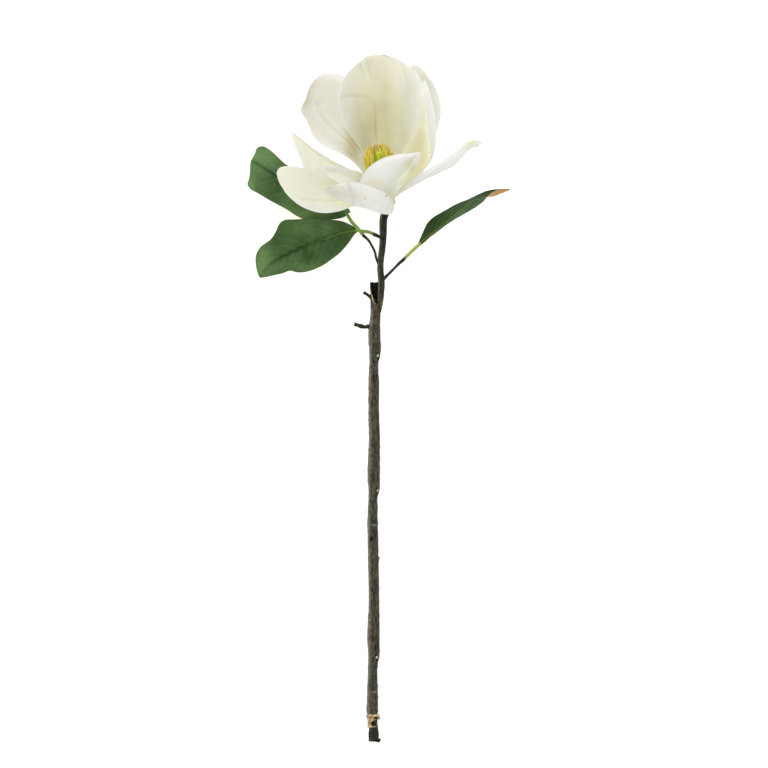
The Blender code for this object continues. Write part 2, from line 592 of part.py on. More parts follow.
def make_receptacle(collection):
    """The swollen end of the stalk: each whorl of petals stands just clear of it."""
    seat = GAP + PETAL_THICKNESS / 2 + SLACK
    whorls = (INNER_WHORL, MIDDLE_WHORL, LOW_WHORL, LEFT_WHORL, LOWEST_WHORL)
    profile = [(0.0, COLUMN_TOP), (COLUMN_RADIUS, COLUMN_TOP), (COLUMN_RADIUS, RING_HEIGHTS[0] - GAP),
               (COLUMN_RADIUS + 1.4, INNER_WHORL[0] + 5.0)]
    profile += [(radius - seat, height) for height, radius, spread in whorls]
    profile += [(UPPER_STEM[-1][3] + 2.0, RECEPTACLE_FOOT + 3.0), (UPPER_STEM[-1][3], RECEPTACLE_FOOT),
                (0.0, RECEPTACLE_FOOT)]
    obj = turned("receptacle", profile, TURNED_SIDES, collection)
    paint(obj, (150, 165, 105), 0.6)
    smooth(obj)


def make_stamens(collection, joins):
    """A brush of slim stamens, rooted in a ring round the column and bowed in over the carpels."""
    low, high = RING_HEIGHTS
    inner = COLUMN_RADIUS + GAP
    profile = [(inner, high), (RING_RADIUS, high), (RING_RADIUS, low), (inner, low), (inner, high)]
    obj = turned("stamens", profile, TURNED_SIDES, collection)
    rng = random.Random(SEED)
    for i in range(STAMEN_COUNT):
        q = (i + 0.5) / STAMEN_COUNT
        azimuth = i * GOLDEN_ANGLE + rng.uniform(-6, 6)
        root = low + RING_INSET + (high - low - 2 * RING_INSET) * q
        top = BRUSH_LOW_TOP + (BRUSH_TOP - BRUSH_LOW_TOP) * q ** 0.8 + rng.uniform(-2.0, 2.0)
        widest = BRUSH_RADIUS * (1.0 - BRUSH_NARROWING * q) + rng.uniform(-0.8, 0.5)
        tip = BRUSH_RADIUS * (TIP_DRAW[0] - TIP_DRAW[1] * q) + rng.uniform(-0.8, 0.8)
        sway = rng.uniform(-STAMEN_SWAY, STAMEN_SWAY)
        # height, radius and share of the sway, from the root out over the ring and in to the tip
        spots = ((root, RING_RADIUS - RING_INSET, 0.0), (root + 2.5, RING_RADIUS + 1.6, 0.1),
                 (root + (top - root) * 0.45, widest - 0.6, 0.4), (root + (top - root) * 0.75, widest, 0.7),
                 (top, tip, 1.0))
        points = [on_axis(h) + outward(azimuth + sway * share) * r for h, r, share in spots]
        radii = (STAMEN_RADIUS * 0.8, STAMEN_RADIUS * 0.8, STAMEN_RADIUS, STAMEN_RADIUS, STAMEN_RADIUS * 0.6)
        rod(f"stamen_{i}", points, radii, 0, joins)
    fuse(obj, joins)
    paint(obj, (205, 185, 70), 0.6)
    smooth(obj)


def make_carpels(collection, joins):
    """The green cone of carpels, each with a short curled style."""
    foot = COLUMN_TOP + GAP
    base, top = CARPEL_BASE_RADIUS, CARPEL_TOP
    profile = [(0.0, top), (base * 0.35, top - 0.8), (base * 0.7, foot + 13.0), (base, foot + 4.0),
               (base * 0.8, foot), (0.0, foot)]
    obj = turned("carpels", profile, TURNED_SIDES // 2, collection)
    for i in range(CARPEL_COUNT):
        q = (i + 0.5) / CARPEL_COUNT
        height = foot + 4.5 + (top - foot - 5.5) * q
        wall = base * (1.0 - CONE_TAPER * q)
        points = [on_axis(height + h) + outward(i * GOLDEN_ANGLE) * (wall + out) for h, out in STYLE_STEPS]
        rod(f"style_{i}", points, STYLE_RADII, 0, joins)
    fuse(obj, joins)
    paint(obj, (168, 173, 40), 0.55)
    smooth(obj)


def band_has(row, angle):
    """Whether the scrap of inner bark covers this cell. The angle is from the right, up over the front."""
    if row < 2:
        return True
    if row == 3:
        return 115 < angle < 230
    return 60 < angle < 230


def make_bark_band(collection):
    """A ragged scrap of pale inner bark, wrapped round the stem and torn open in front."""
    rng = random.Random(SEED)
    axis_x, _, axis_z, bare_radius = STEM[BAND_STEM_STATION]
    radius = bare_radius + GAP + (BAND_WALL + SLACK) / 2
    mesh = bmesh.new()
    rings = []
    for r, y in enumerate(BAND_Y):
        ring = []
        for c in range(BAND_COLUMNS):
            angle = math.radians(360 * c / BAND_COLUMNS)
            ragged = rng.uniform(-BAND_RAGGED, BAND_RAGGED) if r in BAND_RAGGED_ROWS else 0.0
            lift = rng.uniform(0.0, BAND_LIFT)
            if r in BAND_NUB_ROWS and c in BAND_NUB_COLUMNS:
                lift += BAND_NUB_LIFT
            centre = plan(axis_x, y + ragged, axis_z)
            out = np.array([math.cos(angle), 0.0, math.sin(angle)])
            ring.append(mesh.verts.new((centre + out * (radius + lift)) * MM))
        rings.append(ring)
    for r in range(len(BAND_Y) - 1):
        for c in range(BAND_COLUMNS):
            if band_has(r, 360 * (c + 0.5) / BAND_COLUMNS):
                d = (c + 1) % BAND_COLUMNS
                mesh.faces.new((rings[r][c], rings[r][d], rings[r + 1][d], rings[r + 1][c]))
    loose = [vert for vert in mesh.verts if not vert.link_faces]
    bmesh.ops.delete(mesh, geom=loose, context="VERTS")
    bmesh.ops.triangulate(mesh, faces=mesh.faces)
    data = bpy.data.meshes.new("bark_band")
    mesh.to_mesh(data)
    mesh.free()
    obj = new_object("bark_band", data, collection)
    shell = obj.modifiers.new("thickness", "SOLIDIFY")
    shell.thickness = BAND_WALL * MM
    shell.offset = 0.0
    bake(obj)
    press_flat(obj)
    paint(obj, (150, 124, 88), 0.8)
    smooth(obj)


def main():
    clear_scene()
    flower = bpy.data.collections.new("magnolia_flower")
    joins = bpy.data.collections.new("joins")
    for collection in (flower, joins):
        bpy.context.scene.collection.children.link(collection)
    make_petals(flower)
    make_receptacle(flower)
    make_stamens(flower, joins)
    make_carpels(flower, joins)
    make_leaves(flower, joins)
    make_stem(flower, joins)
    make_bark_band(flower)


main()
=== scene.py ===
"""Looks of a cut magnolia stem that lies on its back: one bloom, three leaves and a woody stem."""
import math
import random

import bpy
import numpy as np
from bpy.props import FloatProperty, FloatVectorProperty, IntProperty, PointerProperty
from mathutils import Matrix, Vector, noise


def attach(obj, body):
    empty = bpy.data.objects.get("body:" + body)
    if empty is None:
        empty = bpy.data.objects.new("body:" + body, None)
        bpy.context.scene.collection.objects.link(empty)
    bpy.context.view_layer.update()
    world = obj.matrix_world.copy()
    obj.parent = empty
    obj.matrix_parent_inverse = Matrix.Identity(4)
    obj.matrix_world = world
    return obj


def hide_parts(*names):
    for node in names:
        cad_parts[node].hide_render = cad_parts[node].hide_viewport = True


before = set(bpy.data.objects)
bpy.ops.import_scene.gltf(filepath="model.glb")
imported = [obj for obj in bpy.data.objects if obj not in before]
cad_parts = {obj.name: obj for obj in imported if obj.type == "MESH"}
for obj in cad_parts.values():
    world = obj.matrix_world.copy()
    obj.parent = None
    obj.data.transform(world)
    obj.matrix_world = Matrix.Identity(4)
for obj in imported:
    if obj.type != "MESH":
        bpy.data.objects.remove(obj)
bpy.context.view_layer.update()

bl_info = {
    "name": "Magnolia stem",
    "version": (1, 0, 0),
    "blender": (4, 5, 0),
    "location": "View3D > Sidebar > Magnolia",
    "description": "Petals, stamens, leaves, bark and studio of a cut magnolia stem",
    "category": "Object",
}

MM = 0.001
SEED = 7
CURVE_SAMPLES = 641
WELD = 0.00001

# Points of the blades and the stem are given as (x, y, z) on the plan, in millimetres: the place that a point
# at height z shows at to the camera, which looks straight down on AIM. A high point is drawn in a little.
AIM = (5.0, 16.0)
EYE_HEIGHT = 4309.0
PLAN_HEIGHT = 42.0
LENS = 200.0
SENSOR = 36.0

# Bloom
BLOOM_BASE = (5.0, 196.0, 44.0)
BLOOM_AXIS = (-0.08, 0.90, 0.42)
# a whorl is its height up the axis, its radius and half the angle that a petal's foot takes
INNER_WHORL = (13.0, 9.0, 34.0)
MIDDLE_WHORL = (7.5, 10.0, 28.0)
LOW_WHORL = (6.0, 10.4, 30.0)
LEFT_WHORL = (4.5, 10.9, 23.0)
LOWEST_WHORL = (1.0, 11.8, 24.0)
PETAL_ROWS = 110
PETAL_COLUMNS = 80
# relief fades where a blade is narrower than this
CALM_WIDTH = 22.0
ROW_CROWDING = 1.25
# a petal's sway and veins begin at this share of its length, grow over the next and fade out over the last
SWAY_FROM = 0.12
SWAY_GROWTH = 0.3
TIP_FADE = 0.05
# size of the soft lumps that a petal's face and its margins sway in, and their share of the sway
FACE_SWAY = 26.0
MARGIN_SWAY = 9.0
SWAY_SHARE = 0.9
# how close a petal's fine veins are across it, and how straight they run along it
VEINS_ACROSS = 16.0
VEINS_ALONG = 1.6
VEIN_LIFT = 2.0
# painted shade: a petal greys by this much in the grooves between its veins
VEIN_GREY = 0.06
# the margin's colour takes this outer share of each half, and the foot's colour this share of the length
MARGIN_FROM = 0.8
MARGIN_WIDTH = 0.2
FOOT_REACH = 0.3
# how large and how strong the lumps are that a petal's warmth and its patches are uneven in
UNEVEN_WARMTH = (12.0, 0.12)
UNEVEN_PATCHES = (15.0, 0.25)
WHITER_MARGIN = 0.3
# a petal grows thin over this outer share of each half and over the last of its length
THIN_MARGIN = 0.25
THIN_TIP = 0.1
# a blade stops at this share of its rails, later on a blunt petal, whose arch is over the blunt arch
BLUNT_ARCH = 1.3
ROUND_TIP = 0.988
FINE_TIP = 0.975
# its points are evened out from this share of its length on, in so many rounds
EVEN_FROM = 0.85
EVEN_ROUNDS = 8

# Heart of the bloom: heights are up its axis, and radii are out from it
COLUMN_RADIUS = 4.6
COLUMN_TOP = 36.0
RECEPTACLE_FOOT = -7.0
# the receptacle stays this far inside the middle of the petals' feet
SEAT_INSET = 0.1
SEAT_SIDES = 64
RING_HEIGHTS = (24.0, 35.5)
RING_RADIUS = 7.0
RING_INSET = 1.2
BRUSH_LOW_TOP = 48.5
BRUSH_TOP = 63.5
BRUSH_RADIUS = 15.4
# the brush leans this far to the left at its top
BRUSH_LEAN = 1.6
BRUSH_NARROWING = 0.3
# in front, half of the stamens stay short, so that the carpels show: where that is and how long they are
FRONT_AZIMUTH = 90.0
FRONT_WIDTH = 34.0
FRONT_LENGTH = 12.0
# over this share of the front they are short, and there they are less ripe and show more lime
FRONT_SHORT = 0.4
FRONT_UNRIPE = 0.7
FRONT_LIME = 0.42
# how far the brush closes in over its top
BRUSH_DOME = 0.85
# how stamens differ, from and to: their turn in degrees, top, widest part, tip, colour and sway in degrees
TURN_SPREAD = (-6, 6)
TOP_SPREAD = (-2.5, 1.5)
WIDEST_SPREAD = (-1.4, 0.6)
TIP_SPREAD = (-1.0, 0.8)
RIPE_SPREAD = (0.0, 0.9)
STAMEN_SWAY = (-11.7, 11.7)
STAMEN_SIDES = 6
STAMEN_STEPS = 9
CARPEL_TOP = 56.0
CARPEL_BASE_RADIUS = 4.8
CONE_TAPER = 0.62
# how far the carpels stand out of the cone as scales, and how much their styles' curl differs
CARPEL_SCALE = 0.35
CURL_SPREAD = (0.8, 1.3)
HEART_SIDES = 48
# strands are set this many degrees on from each other, so that they spread evenly
GOLDEN_ANGLE = 137.5
# shares of a strand's length, and how thick it is there as a share of a stamen's radius or in millimetres
STAMEN_TAPER = ((0, 0.15, 0.5, 0.88, 1.0), (0.75, 0.8, 1.0, 1.1, 0.5))
STYLE_TAPER = ((0, 0.3, 0.8, 1.0), (0.75, 0.62, 0.42, 0.2))

# Bark: how much it is drawn out lengthwise, the size of its ridges, of the finer ones and of its lumps, and
# how far the lumps stand out
BARK_STRETCH = (1.0, 0.16, 1.0)
RIDGE_SIZE = 1.3
FINE_RIDGE_SIZE = 0.6
LUMP_SIZE = 5.0
LUMP_HEIGHT = 0.3
# a mark's edge: the size of the lumps in it, how far they move it, how sharp it is, and how far down a face
# may look and still carry it
MARK_LUMP_SIZE = 0.9
MARK_LUMPS = 0.3
MARK_SHARPNESS = 1.6
MARK_TURN = -0.5
# dark bark is cooler, by this much of its darkness
DARK_COOLING = 2.2
# a rod is its rows, its sides, the share of the full relief that it has and how dark it is all over
THICK_ROD = (620, 72, 1.0, 0.0)
THIN_ROD = (200, 36, 0.5, 0.37)
TWIG_ROD = (60, 24, 0.6, 0.6)
# cut stubs are this much thicker than their stations say, and a twig runs this far on into its leaf stalk
STUB_SWELL = 1.25
TWIG_REACH = 1.3

# Leaves
LEAF_ROWS = 120
LEAF_COLUMNS = 64
LEAF_ARCH = 1.0
LEAF_END = 0.99
STALK_RADIUS = 1.7
STALK_ROWS = 130
STALK_SIDES = 20
# side veins lean towards the tip by this share of the leaf's length, and this is half their width in gaps
VEIN_LEAN = 0.20
VEIN_WIDTH = 0.09
RIB_WIDTH = 0.9
RIB_DEPTH = 0.5
# size and height of the lumps in a leaf's face, which grow from its foot over the next share of its length,
# and size and strength of its mottle
LEAF_LUMPS = ((14.0, 0.5), (4.0, 0.12))
LEAF_FOOT = 0.06
LEAF_MOTTLE = (16.0, 0.2)
# the face is darker beside the midrib: how far and by how much
RIB_SHADE = (2.2, 0.25)
# a leaf grows thin over this outer share of each half, down to this share of its thickness
LEAF_THIN_MARGIN = 0.1
LEAF_MARGIN = 0.6
# the two colours of the midrib, with their width and strength; along a crease the pale one is a painted
# highlight
RIB_LINES = (("pale_rib_and_highlight", 0.8, 0.75), ("dark_rib", 0.55, 1.0))

# Stage: lengths in metres
FLOOR_DROP = 0.0002
KEY_PLACE = (-1.1, 1.5, 2.2)
KEY_AIM = (0.0, 0.12, 0.0)
KEY_SIZE = 1.6
SIGHT = 50.0
WHITE = (1.0, 1.0, 1.0, 1.0)

# Each petal is drawn by the rails that run from its foot to its tip: left margin, middle and right margin,
# left and right as seen on the inner face with the tip up. A blunt tip has a higher arch.
PETALS = {
    "petal_back_cup": dict(
        azimuth=268, whorl=INNER_WHORL, arch=1.7, tip=(0, 346, 30),
        left=[(-5, 226, 35), (-16, 248, 34), (-28, 265, 36), (-37, 282, 38), (-40.5, 301, 39),
              (-35.5, 321, 37), (-24, 335, 33), (-12, 343, 31)],
        middle=[(4, 222, 29), (3, 240, 20), (2, 265, 13), (2, 295, 12), (1, 322, 19)],
        right=[(12, 224, 38), (22, 242, 38), (33, 260, 40), (42, 280, 42), (45, 302, 43),
               (40, 324, 40), (29, 335, 35), (15, 343, 32)]),
    "petal_right_inner": dict(
        azimuth=350, whorl=INNER_WHORL, arch=1.3, tip=(45, 321, 60),
        left=[(16, 224, 47), (22, 245, 47), (30, 261, 48), (37.5, 273, 49), (42, 290, 50), (42, 308, 53)],
        middle=[(27, 221, 49), (42, 236, 56), (52, 253, 64), (55.3, 272, 69), (54, 292, 70), (49, 310, 67)],
        right=[(19, 213, 52), (32, 220, 54), (43, 228, 58), (50.5, 239, 66), (52, 252, 77),
               (49.8, 267, 87), (47.8, 285, 87), (46.3, 305, 79)]),
    "petal_left_narrow": dict(
        azimuth=170, whorl=INNER_WHORL, arch=1.3, tip=(-62, 231.5, 89),
        left=[(-13, 210, 66), (-28, 214, 77), (-41, 218, 83), (-52, 224.5, 87)],
        middle=[(-15, 216, 62), (-29, 223, 71), (-44, 227, 80)],
        right=[(-11, 221, 56), (-19, 228, 62), (-33, 231.5, 72), (-47, 234, 80), (-56, 233.7, 85)]),
    "petal_front_high": dict(
        azimuth=78, whorl=INNER_WHORL, arch=1.3, tip=(42, 248, 101),
        left=[(16.6, 203.6, 71.2), (18.8, 208, 82.5), (17, 212.2, 92), (19.5, 220, 101), (26.5, 228, 106),
              (35, 239, 107)],
        fold=(-0.6, [(13, 202.5, 68), (18.5, 210, 79), (25.5, 216.5, 85), (33.5, 226, 91), (39.7, 237, 96)]),
        middle=[(6, 197, 73), (4, 206, 81), (7, 219, 89), (14, 231, 94), (26, 240, 98)],
        right=[(-3, 198, 66), (-13, 205, 76), (-19.5, 215, 82), (-15.5, 226, 86), (-8, 234.5, 89),
               (3, 241.3, 91), (16, 245.3, 93), (29, 246, 96)]),
    "petal_left_back": dict(
        azimuth=229, whorl=MIDDLE_WHORL, arch=1.2, tip=(-79.5, 290, 16),
        left=[(-10.5, 216, 35.5), (-18, 229.5, 32), (-27, 239, 28), (-37, 246, 25), (-55, 254, 20),
              (-65, 262, 18), (-72, 278, 16)],
        middle=[(-8, 220, 28), (-16, 240, 16), (-27, 259, 7), (-41, 277, 0.6), (-54, 292, 0), (-67, 298, 5)],
        right=[(-2, 216, 28), (-7, 235, 18), (-13, 255, 12), (-19, 280, 10), (-26, 308, 10),
               (-35, 324, 11), (-50, 327, 11), (-62, 323, 12), (-70, 314, 14), (-73, 302, 16)]),
    "petal_right_back": dict(
        azimuth=312, whorl=MIDDLE_WHORL, arch=1.6, tip=(34, 335, 22),
        left=[(16, 224, 26), (22, 250, 17), (26, 275, 13), (29, 300, 12), (28, 318, 15), (28, 329, 19)],
        middle=[(22, 224, 26), (34, 248, 11), (42, 273, 1), (43, 299, 0), (40, 320, 8)],
        right=[(28, 223, 34), (42, 238, 30), (53, 256, 26), (60, 278, 23), (62, 294, 22), (58, 309, 22),
               (50, 323, 22), (42, 332, 22)]),
    "petal_front_low": dict(
        azimuth=112, whorl=LOW_WHORL, arch=1.3, tip=(-56, 208, 95),
        left=[(12.6, 192, 68), (14.4, 198, 82), (8, 206, 96), (-8, 213, 104), (-23, 217.5, 107),
              (-37, 217, 104), (-48, 213, 100)],
        middle=[(9, 187, 66), (11.5, 188, 82), (-1, 195, 96), (-17, 203, 103), (-32, 208, 103),
                (-45, 209.5, 100)],
        right=[(0, 188, 62), (-3, 188, 76), (-14, 191.7, 87), (-28, 196.5, 93), (-42, 201.5, 96)]),
    "petal_left_pointed": dict(
        azimuth=185, whorl=LEFT_WHORL, arch=1.1, tip=(-89, 269, 52),
        left=[(-17, 200, 49), (-33, 204, 49), (-49, 212, 49), (-64, 220, 48), (-74, 229, 48),
              (-79.5, 243, 49), (-85, 257, 51)],
        middle=[(-17, 208, 42), (-32, 220, 40), (-49, 233, 41), (-65, 246, 44), (-78, 258, 48)],
        right=[(-11, 212, 43.5), (-19, 224.5, 44), (-30, 231, 43), (-41, 236, 44), (-55, 244, 46),
               (-68, 253, 49), (-80, 263, 51)]),
    "petal_left_blunt": dict(
        azimuth=141, whorl=LOWEST_WHORL, arch=1.6, tip=(-102.3, 227, 74),
        left=[(-10, 191.5, 57), (-23, 193.6, 61), (-31, 191.8, 63), (-39, 188.9, 65), (-57, 187, 68),
              (-73, 191.5, 70), (-85, 199, 72), (-94, 208, 74), (-100, 219, 75)],
        middle=[(-15, 195, 56), (-31, 200, 59), (-49, 206, 62), (-67, 212, 65), (-85, 220, 69)],
        right=[(-12, 202, 54.5), (-27, 210, 60), (-44, 219, 64), (-61, 228, 68), (-77, 232.5, 71),
               (-91, 234, 73), (-99.5, 232, 74)]),
    "petal_right_long": dict(
        azimuth=23, whorl=LOW_WHORL, arch=1.2, tip=(103.5, 258, 91),
        left=[(22, 209, 58), (32, 218, 63), (49, 228, 69), (63, 236, 72), (76, 244.5, 76), (89, 253, 82)],
        middle=[(22, 207.3, 66), (31, 212.5, 76), (48.5, 222.2, 83), (63, 228.8, 86), (75, 235, 88),
                (83, 243, 89), (88.5, 249.3, 89.5), (94, 253, 90), (98.5, 253.6, 90.5)],
        right=[(18.5, 211, 72), (32, 220.5, 85), (48.5, 231, 93), (63, 239, 97), (75, 247.3, 99),
               (83, 253.6, 98.5), (89, 258.2, 98), (96, 260.3, 96)]),
}

# Each leaf is drawn the same way, from its stalk to its tip. fold is how sharp the crease at the midrib is.
LEAVES = {
    "leaf_upper": dict(
        start=(-31.5, 186, 26), tip=(-117, 232, 5), fold=0.45, wave=(0.8, 3),
        left=[(-35.5, 182.7, 25), (-47, 180.5, 23), (-61, 180.5, 22), (-75, 180.8, 22), (-82, 183.8, 22),
              (-93, 191, 22), (-108, 199, 21.5), (-121, 206.7, 21), (-129, 211.3, 19), (-131.5, 216, 14),
              (-128, 223, 8)],
        middle=[(-43, 193, 21), (-61, 203, 18), (-81, 214, 17), (-103, 224.5, 16.5), (-115, 232, 16.5),
                (-124.5, 238, 15), (-128.2, 238.5, 11), (-124.5, 235.5, 7)],
        right=[(-28.6, 187.6, 31), (-31.0, 191.6, 33), (-38, 193.5, 30.5), (-49, 204, 26), (-67, 216, 25),
               (-81, 228, 25), (-94, 236.5, 25), (-100, 241.7, 25), (-107, 248.2, 25), (-115.5, 253.6, 24),
               (-121, 252.7, 20), (-123, 248, 14)],
        stalk=[(-31.5, 185, 26.5), (-27.5, 178.5, 31), (-23, 173.5, 36.5), (-19, 169, 39),
               (-15.8, 164.8, 40)]),
    "leaf_lower": dict(
        start=(-21.5, 169.8, 33), tip=(-119.5, 122, 9), fold=0.45, wave=(0.8, 3),
        left=[(-24, 166, 31.5), (-29, 159, 29), (-39, 147.3, 27), (-48, 140.3, 26), (-58, 133.7, 25),
              (-73, 128.2, 24), (-82, 127.7, 23.5), (-89, 129.3, 23), (-96, 126.8, 21), (-104, 125, 18),
              (-113, 123, 13)],
        middle=[(-35, 167.5, 28), (-49, 163, 24), (-63.5, 158, 22), (-78, 152, 21), (-91, 146, 20.5),
                (-102, 140, 19), (-112, 132, 15)],
        right=[(-27, 174.5, 32), (-38, 179, 31), (-52, 180.5, 30), (-68, 181.5, 29), (-86, 180.5, 28),
               (-94, 180.2, 28), (-99.5, 176.5, 27.5), (-104, 167, 27), (-108.5, 160.5, 26),
               (-118, 153.5, 22), (-122.7, 146, 18), (-123.5, 138, 15), (-122, 129, 11)],
        stalk=[(-21.5, 169.7, 32.8), (-17, 168.8, 33.5), (-11, 168.2, 35), (-5.2, 165.8, 36)]),
    "leaf_right": dict(
        start=(40.5, 156.2, 47.5), tip=(132, 211, 62), fold=1.0, wave=(0.6, 3),
        left=[(41, 161, 44), (44, 168, 40), (49, 177.7, 37), (55, 183.3, 36), (63.5, 188.2, 36),
              (76, 195, 38), (86, 199.4, 40), (99, 205.3, 45), (108, 209, 49), (117, 210.7, 54)],
        middle=[(49, 164.2, 47), (61, 173, 49), (73, 183.2, 51), (85, 192.2, 53), (95, 199, 55),
                (105, 203, 57), (114, 203.8, 58), (122, 206.8, 60)],
        right=[(44.5, 157, 51), (52, 163.3, 58), (60, 170, 64), (67, 175, 67), (79, 182.5, 70),
               (90, 188.7, 71), (99, 194.5, 70), (105, 199.3, 70), (109.5, 205, 70), (116, 209.3, 68),
               (125, 211.2, 65)],
        stalk=[(40.5, 155.7, 47.3), (32.5, 148.5, 45), (26, 142, 41.5)]),
}

# Stem from its cut end up: (x, y, z, radius). It has a waist under the bark band, thickens up to each leaf
# scar and steps in past it.
STEM = [
    (-5.3, -341.2, 5.8, 5.2), (-5.3, -338, 5.8, 4.95), (-5.4, -330.5, 6.0, 4.85), (-5.6, -329.3, 6.0, 4.6),
    (-5.9, -314.9, 6.2, 4.6), (-6.4, -313.4, 6.3, 5.5), (-6.5, -290, 6.7, 5.3), (-6.0, -262, 7.4, 4.9),
    (-5.2, -256, 7.6, 5.6), (-5.6, -240, 8.0, 6.2), (-5.1, -200, 9.0, 5.3), (-5.8, -155, 10.5, 5.4),
    (-6.4, -120, 12.0, 5.2), (-6.0, -97, 12.9, 4.7), (-5.0, -90, 13.2, 5.5), (-5.4, -80, 13.6, 6.2),
    (-4.7, -40, 15.4, 5.6), (-5.3, -15, 16.6, 5.4), (-5.3, 15, 18.2, 5.4), (-5.1, 38, 19.3, 4.7),
    (-4.1, 46, 19.7, 5.7), (-4.7, 70, 21.0, 6.0), (-3.9, 80, 21.6, 5.3), (-3.6, 90, 22.2, 4.8),
    (-3.4, 96.5, 22.6, 4.5)]
# Thin upper stem, from where it leaves the side of the thick one up to the receptacle
UPPER_STEM = [
    (-1.0, 84, 21.5, 1.8), (0.4, 91, 22.8, 2.3), (1.3, 97, 24.3, 2.7), (2.1, 107, 26.0, 3.1),
    (2.4, 119, 27.4, 3.4), (1.4, 130, 28.6, 3.2), (1.8, 140, 29.6, 3.2), (3.0, 150, 30.6, 3.35),
    (3.9, 160, 32.0, 3.5), (4.2, 170, 33.8, 3.75), (4.4, 180, 36.6, 4.0)]
TWIGS = {
    "twig_to_lower_leaf": [(5.0, 160.3, 33.5, 1.7), (0.5, 163.2, 36.4, 1.6), (-4.7, 165.6, 36.1, 1.9)],
    "twig_to_upper_leaf": [(1.0, 132, 29.0, 1.3), (-2.6, 141, 30.6, 1.2), (-4.2, 148, 32.5, 1.2),
                           (-7.3, 154.5, 35.5, 1.2), (-11.0, 160.3, 38.3, 1.3), (-15.0, 163.8, 39.7, 1.5)],
    "twig_to_right_leaf": [(2.5, 119, 27.5, 1.9), (9.0, 125.4, 31.5, 1.5), (16.0, 132.5, 35.8, 1.4),
                           (25.4, 141.4, 41.1, 1.6)],
    "stub_upper": [(-4.0, 98, 23.5, 1.9), (-8.0, 102.5, 24.5, 1.5), (-12.0, 105.6, 25.0, 1.2),
                   (-15.6, 107.8, 25.2, 1.4)],
    "stub_lower": [(-5.0, 70, 21.6, 2.3), (-11.0, 73.5, 22.6, 1.8), (-13.5, 72.9, 22.8, 1.4),
                   (-18.5, 74.0, 23.2, 1.9), (-21.5, 75.0, 23.2, 1.5), (-25.0, 75.9, 23.3, 1.6)],
}
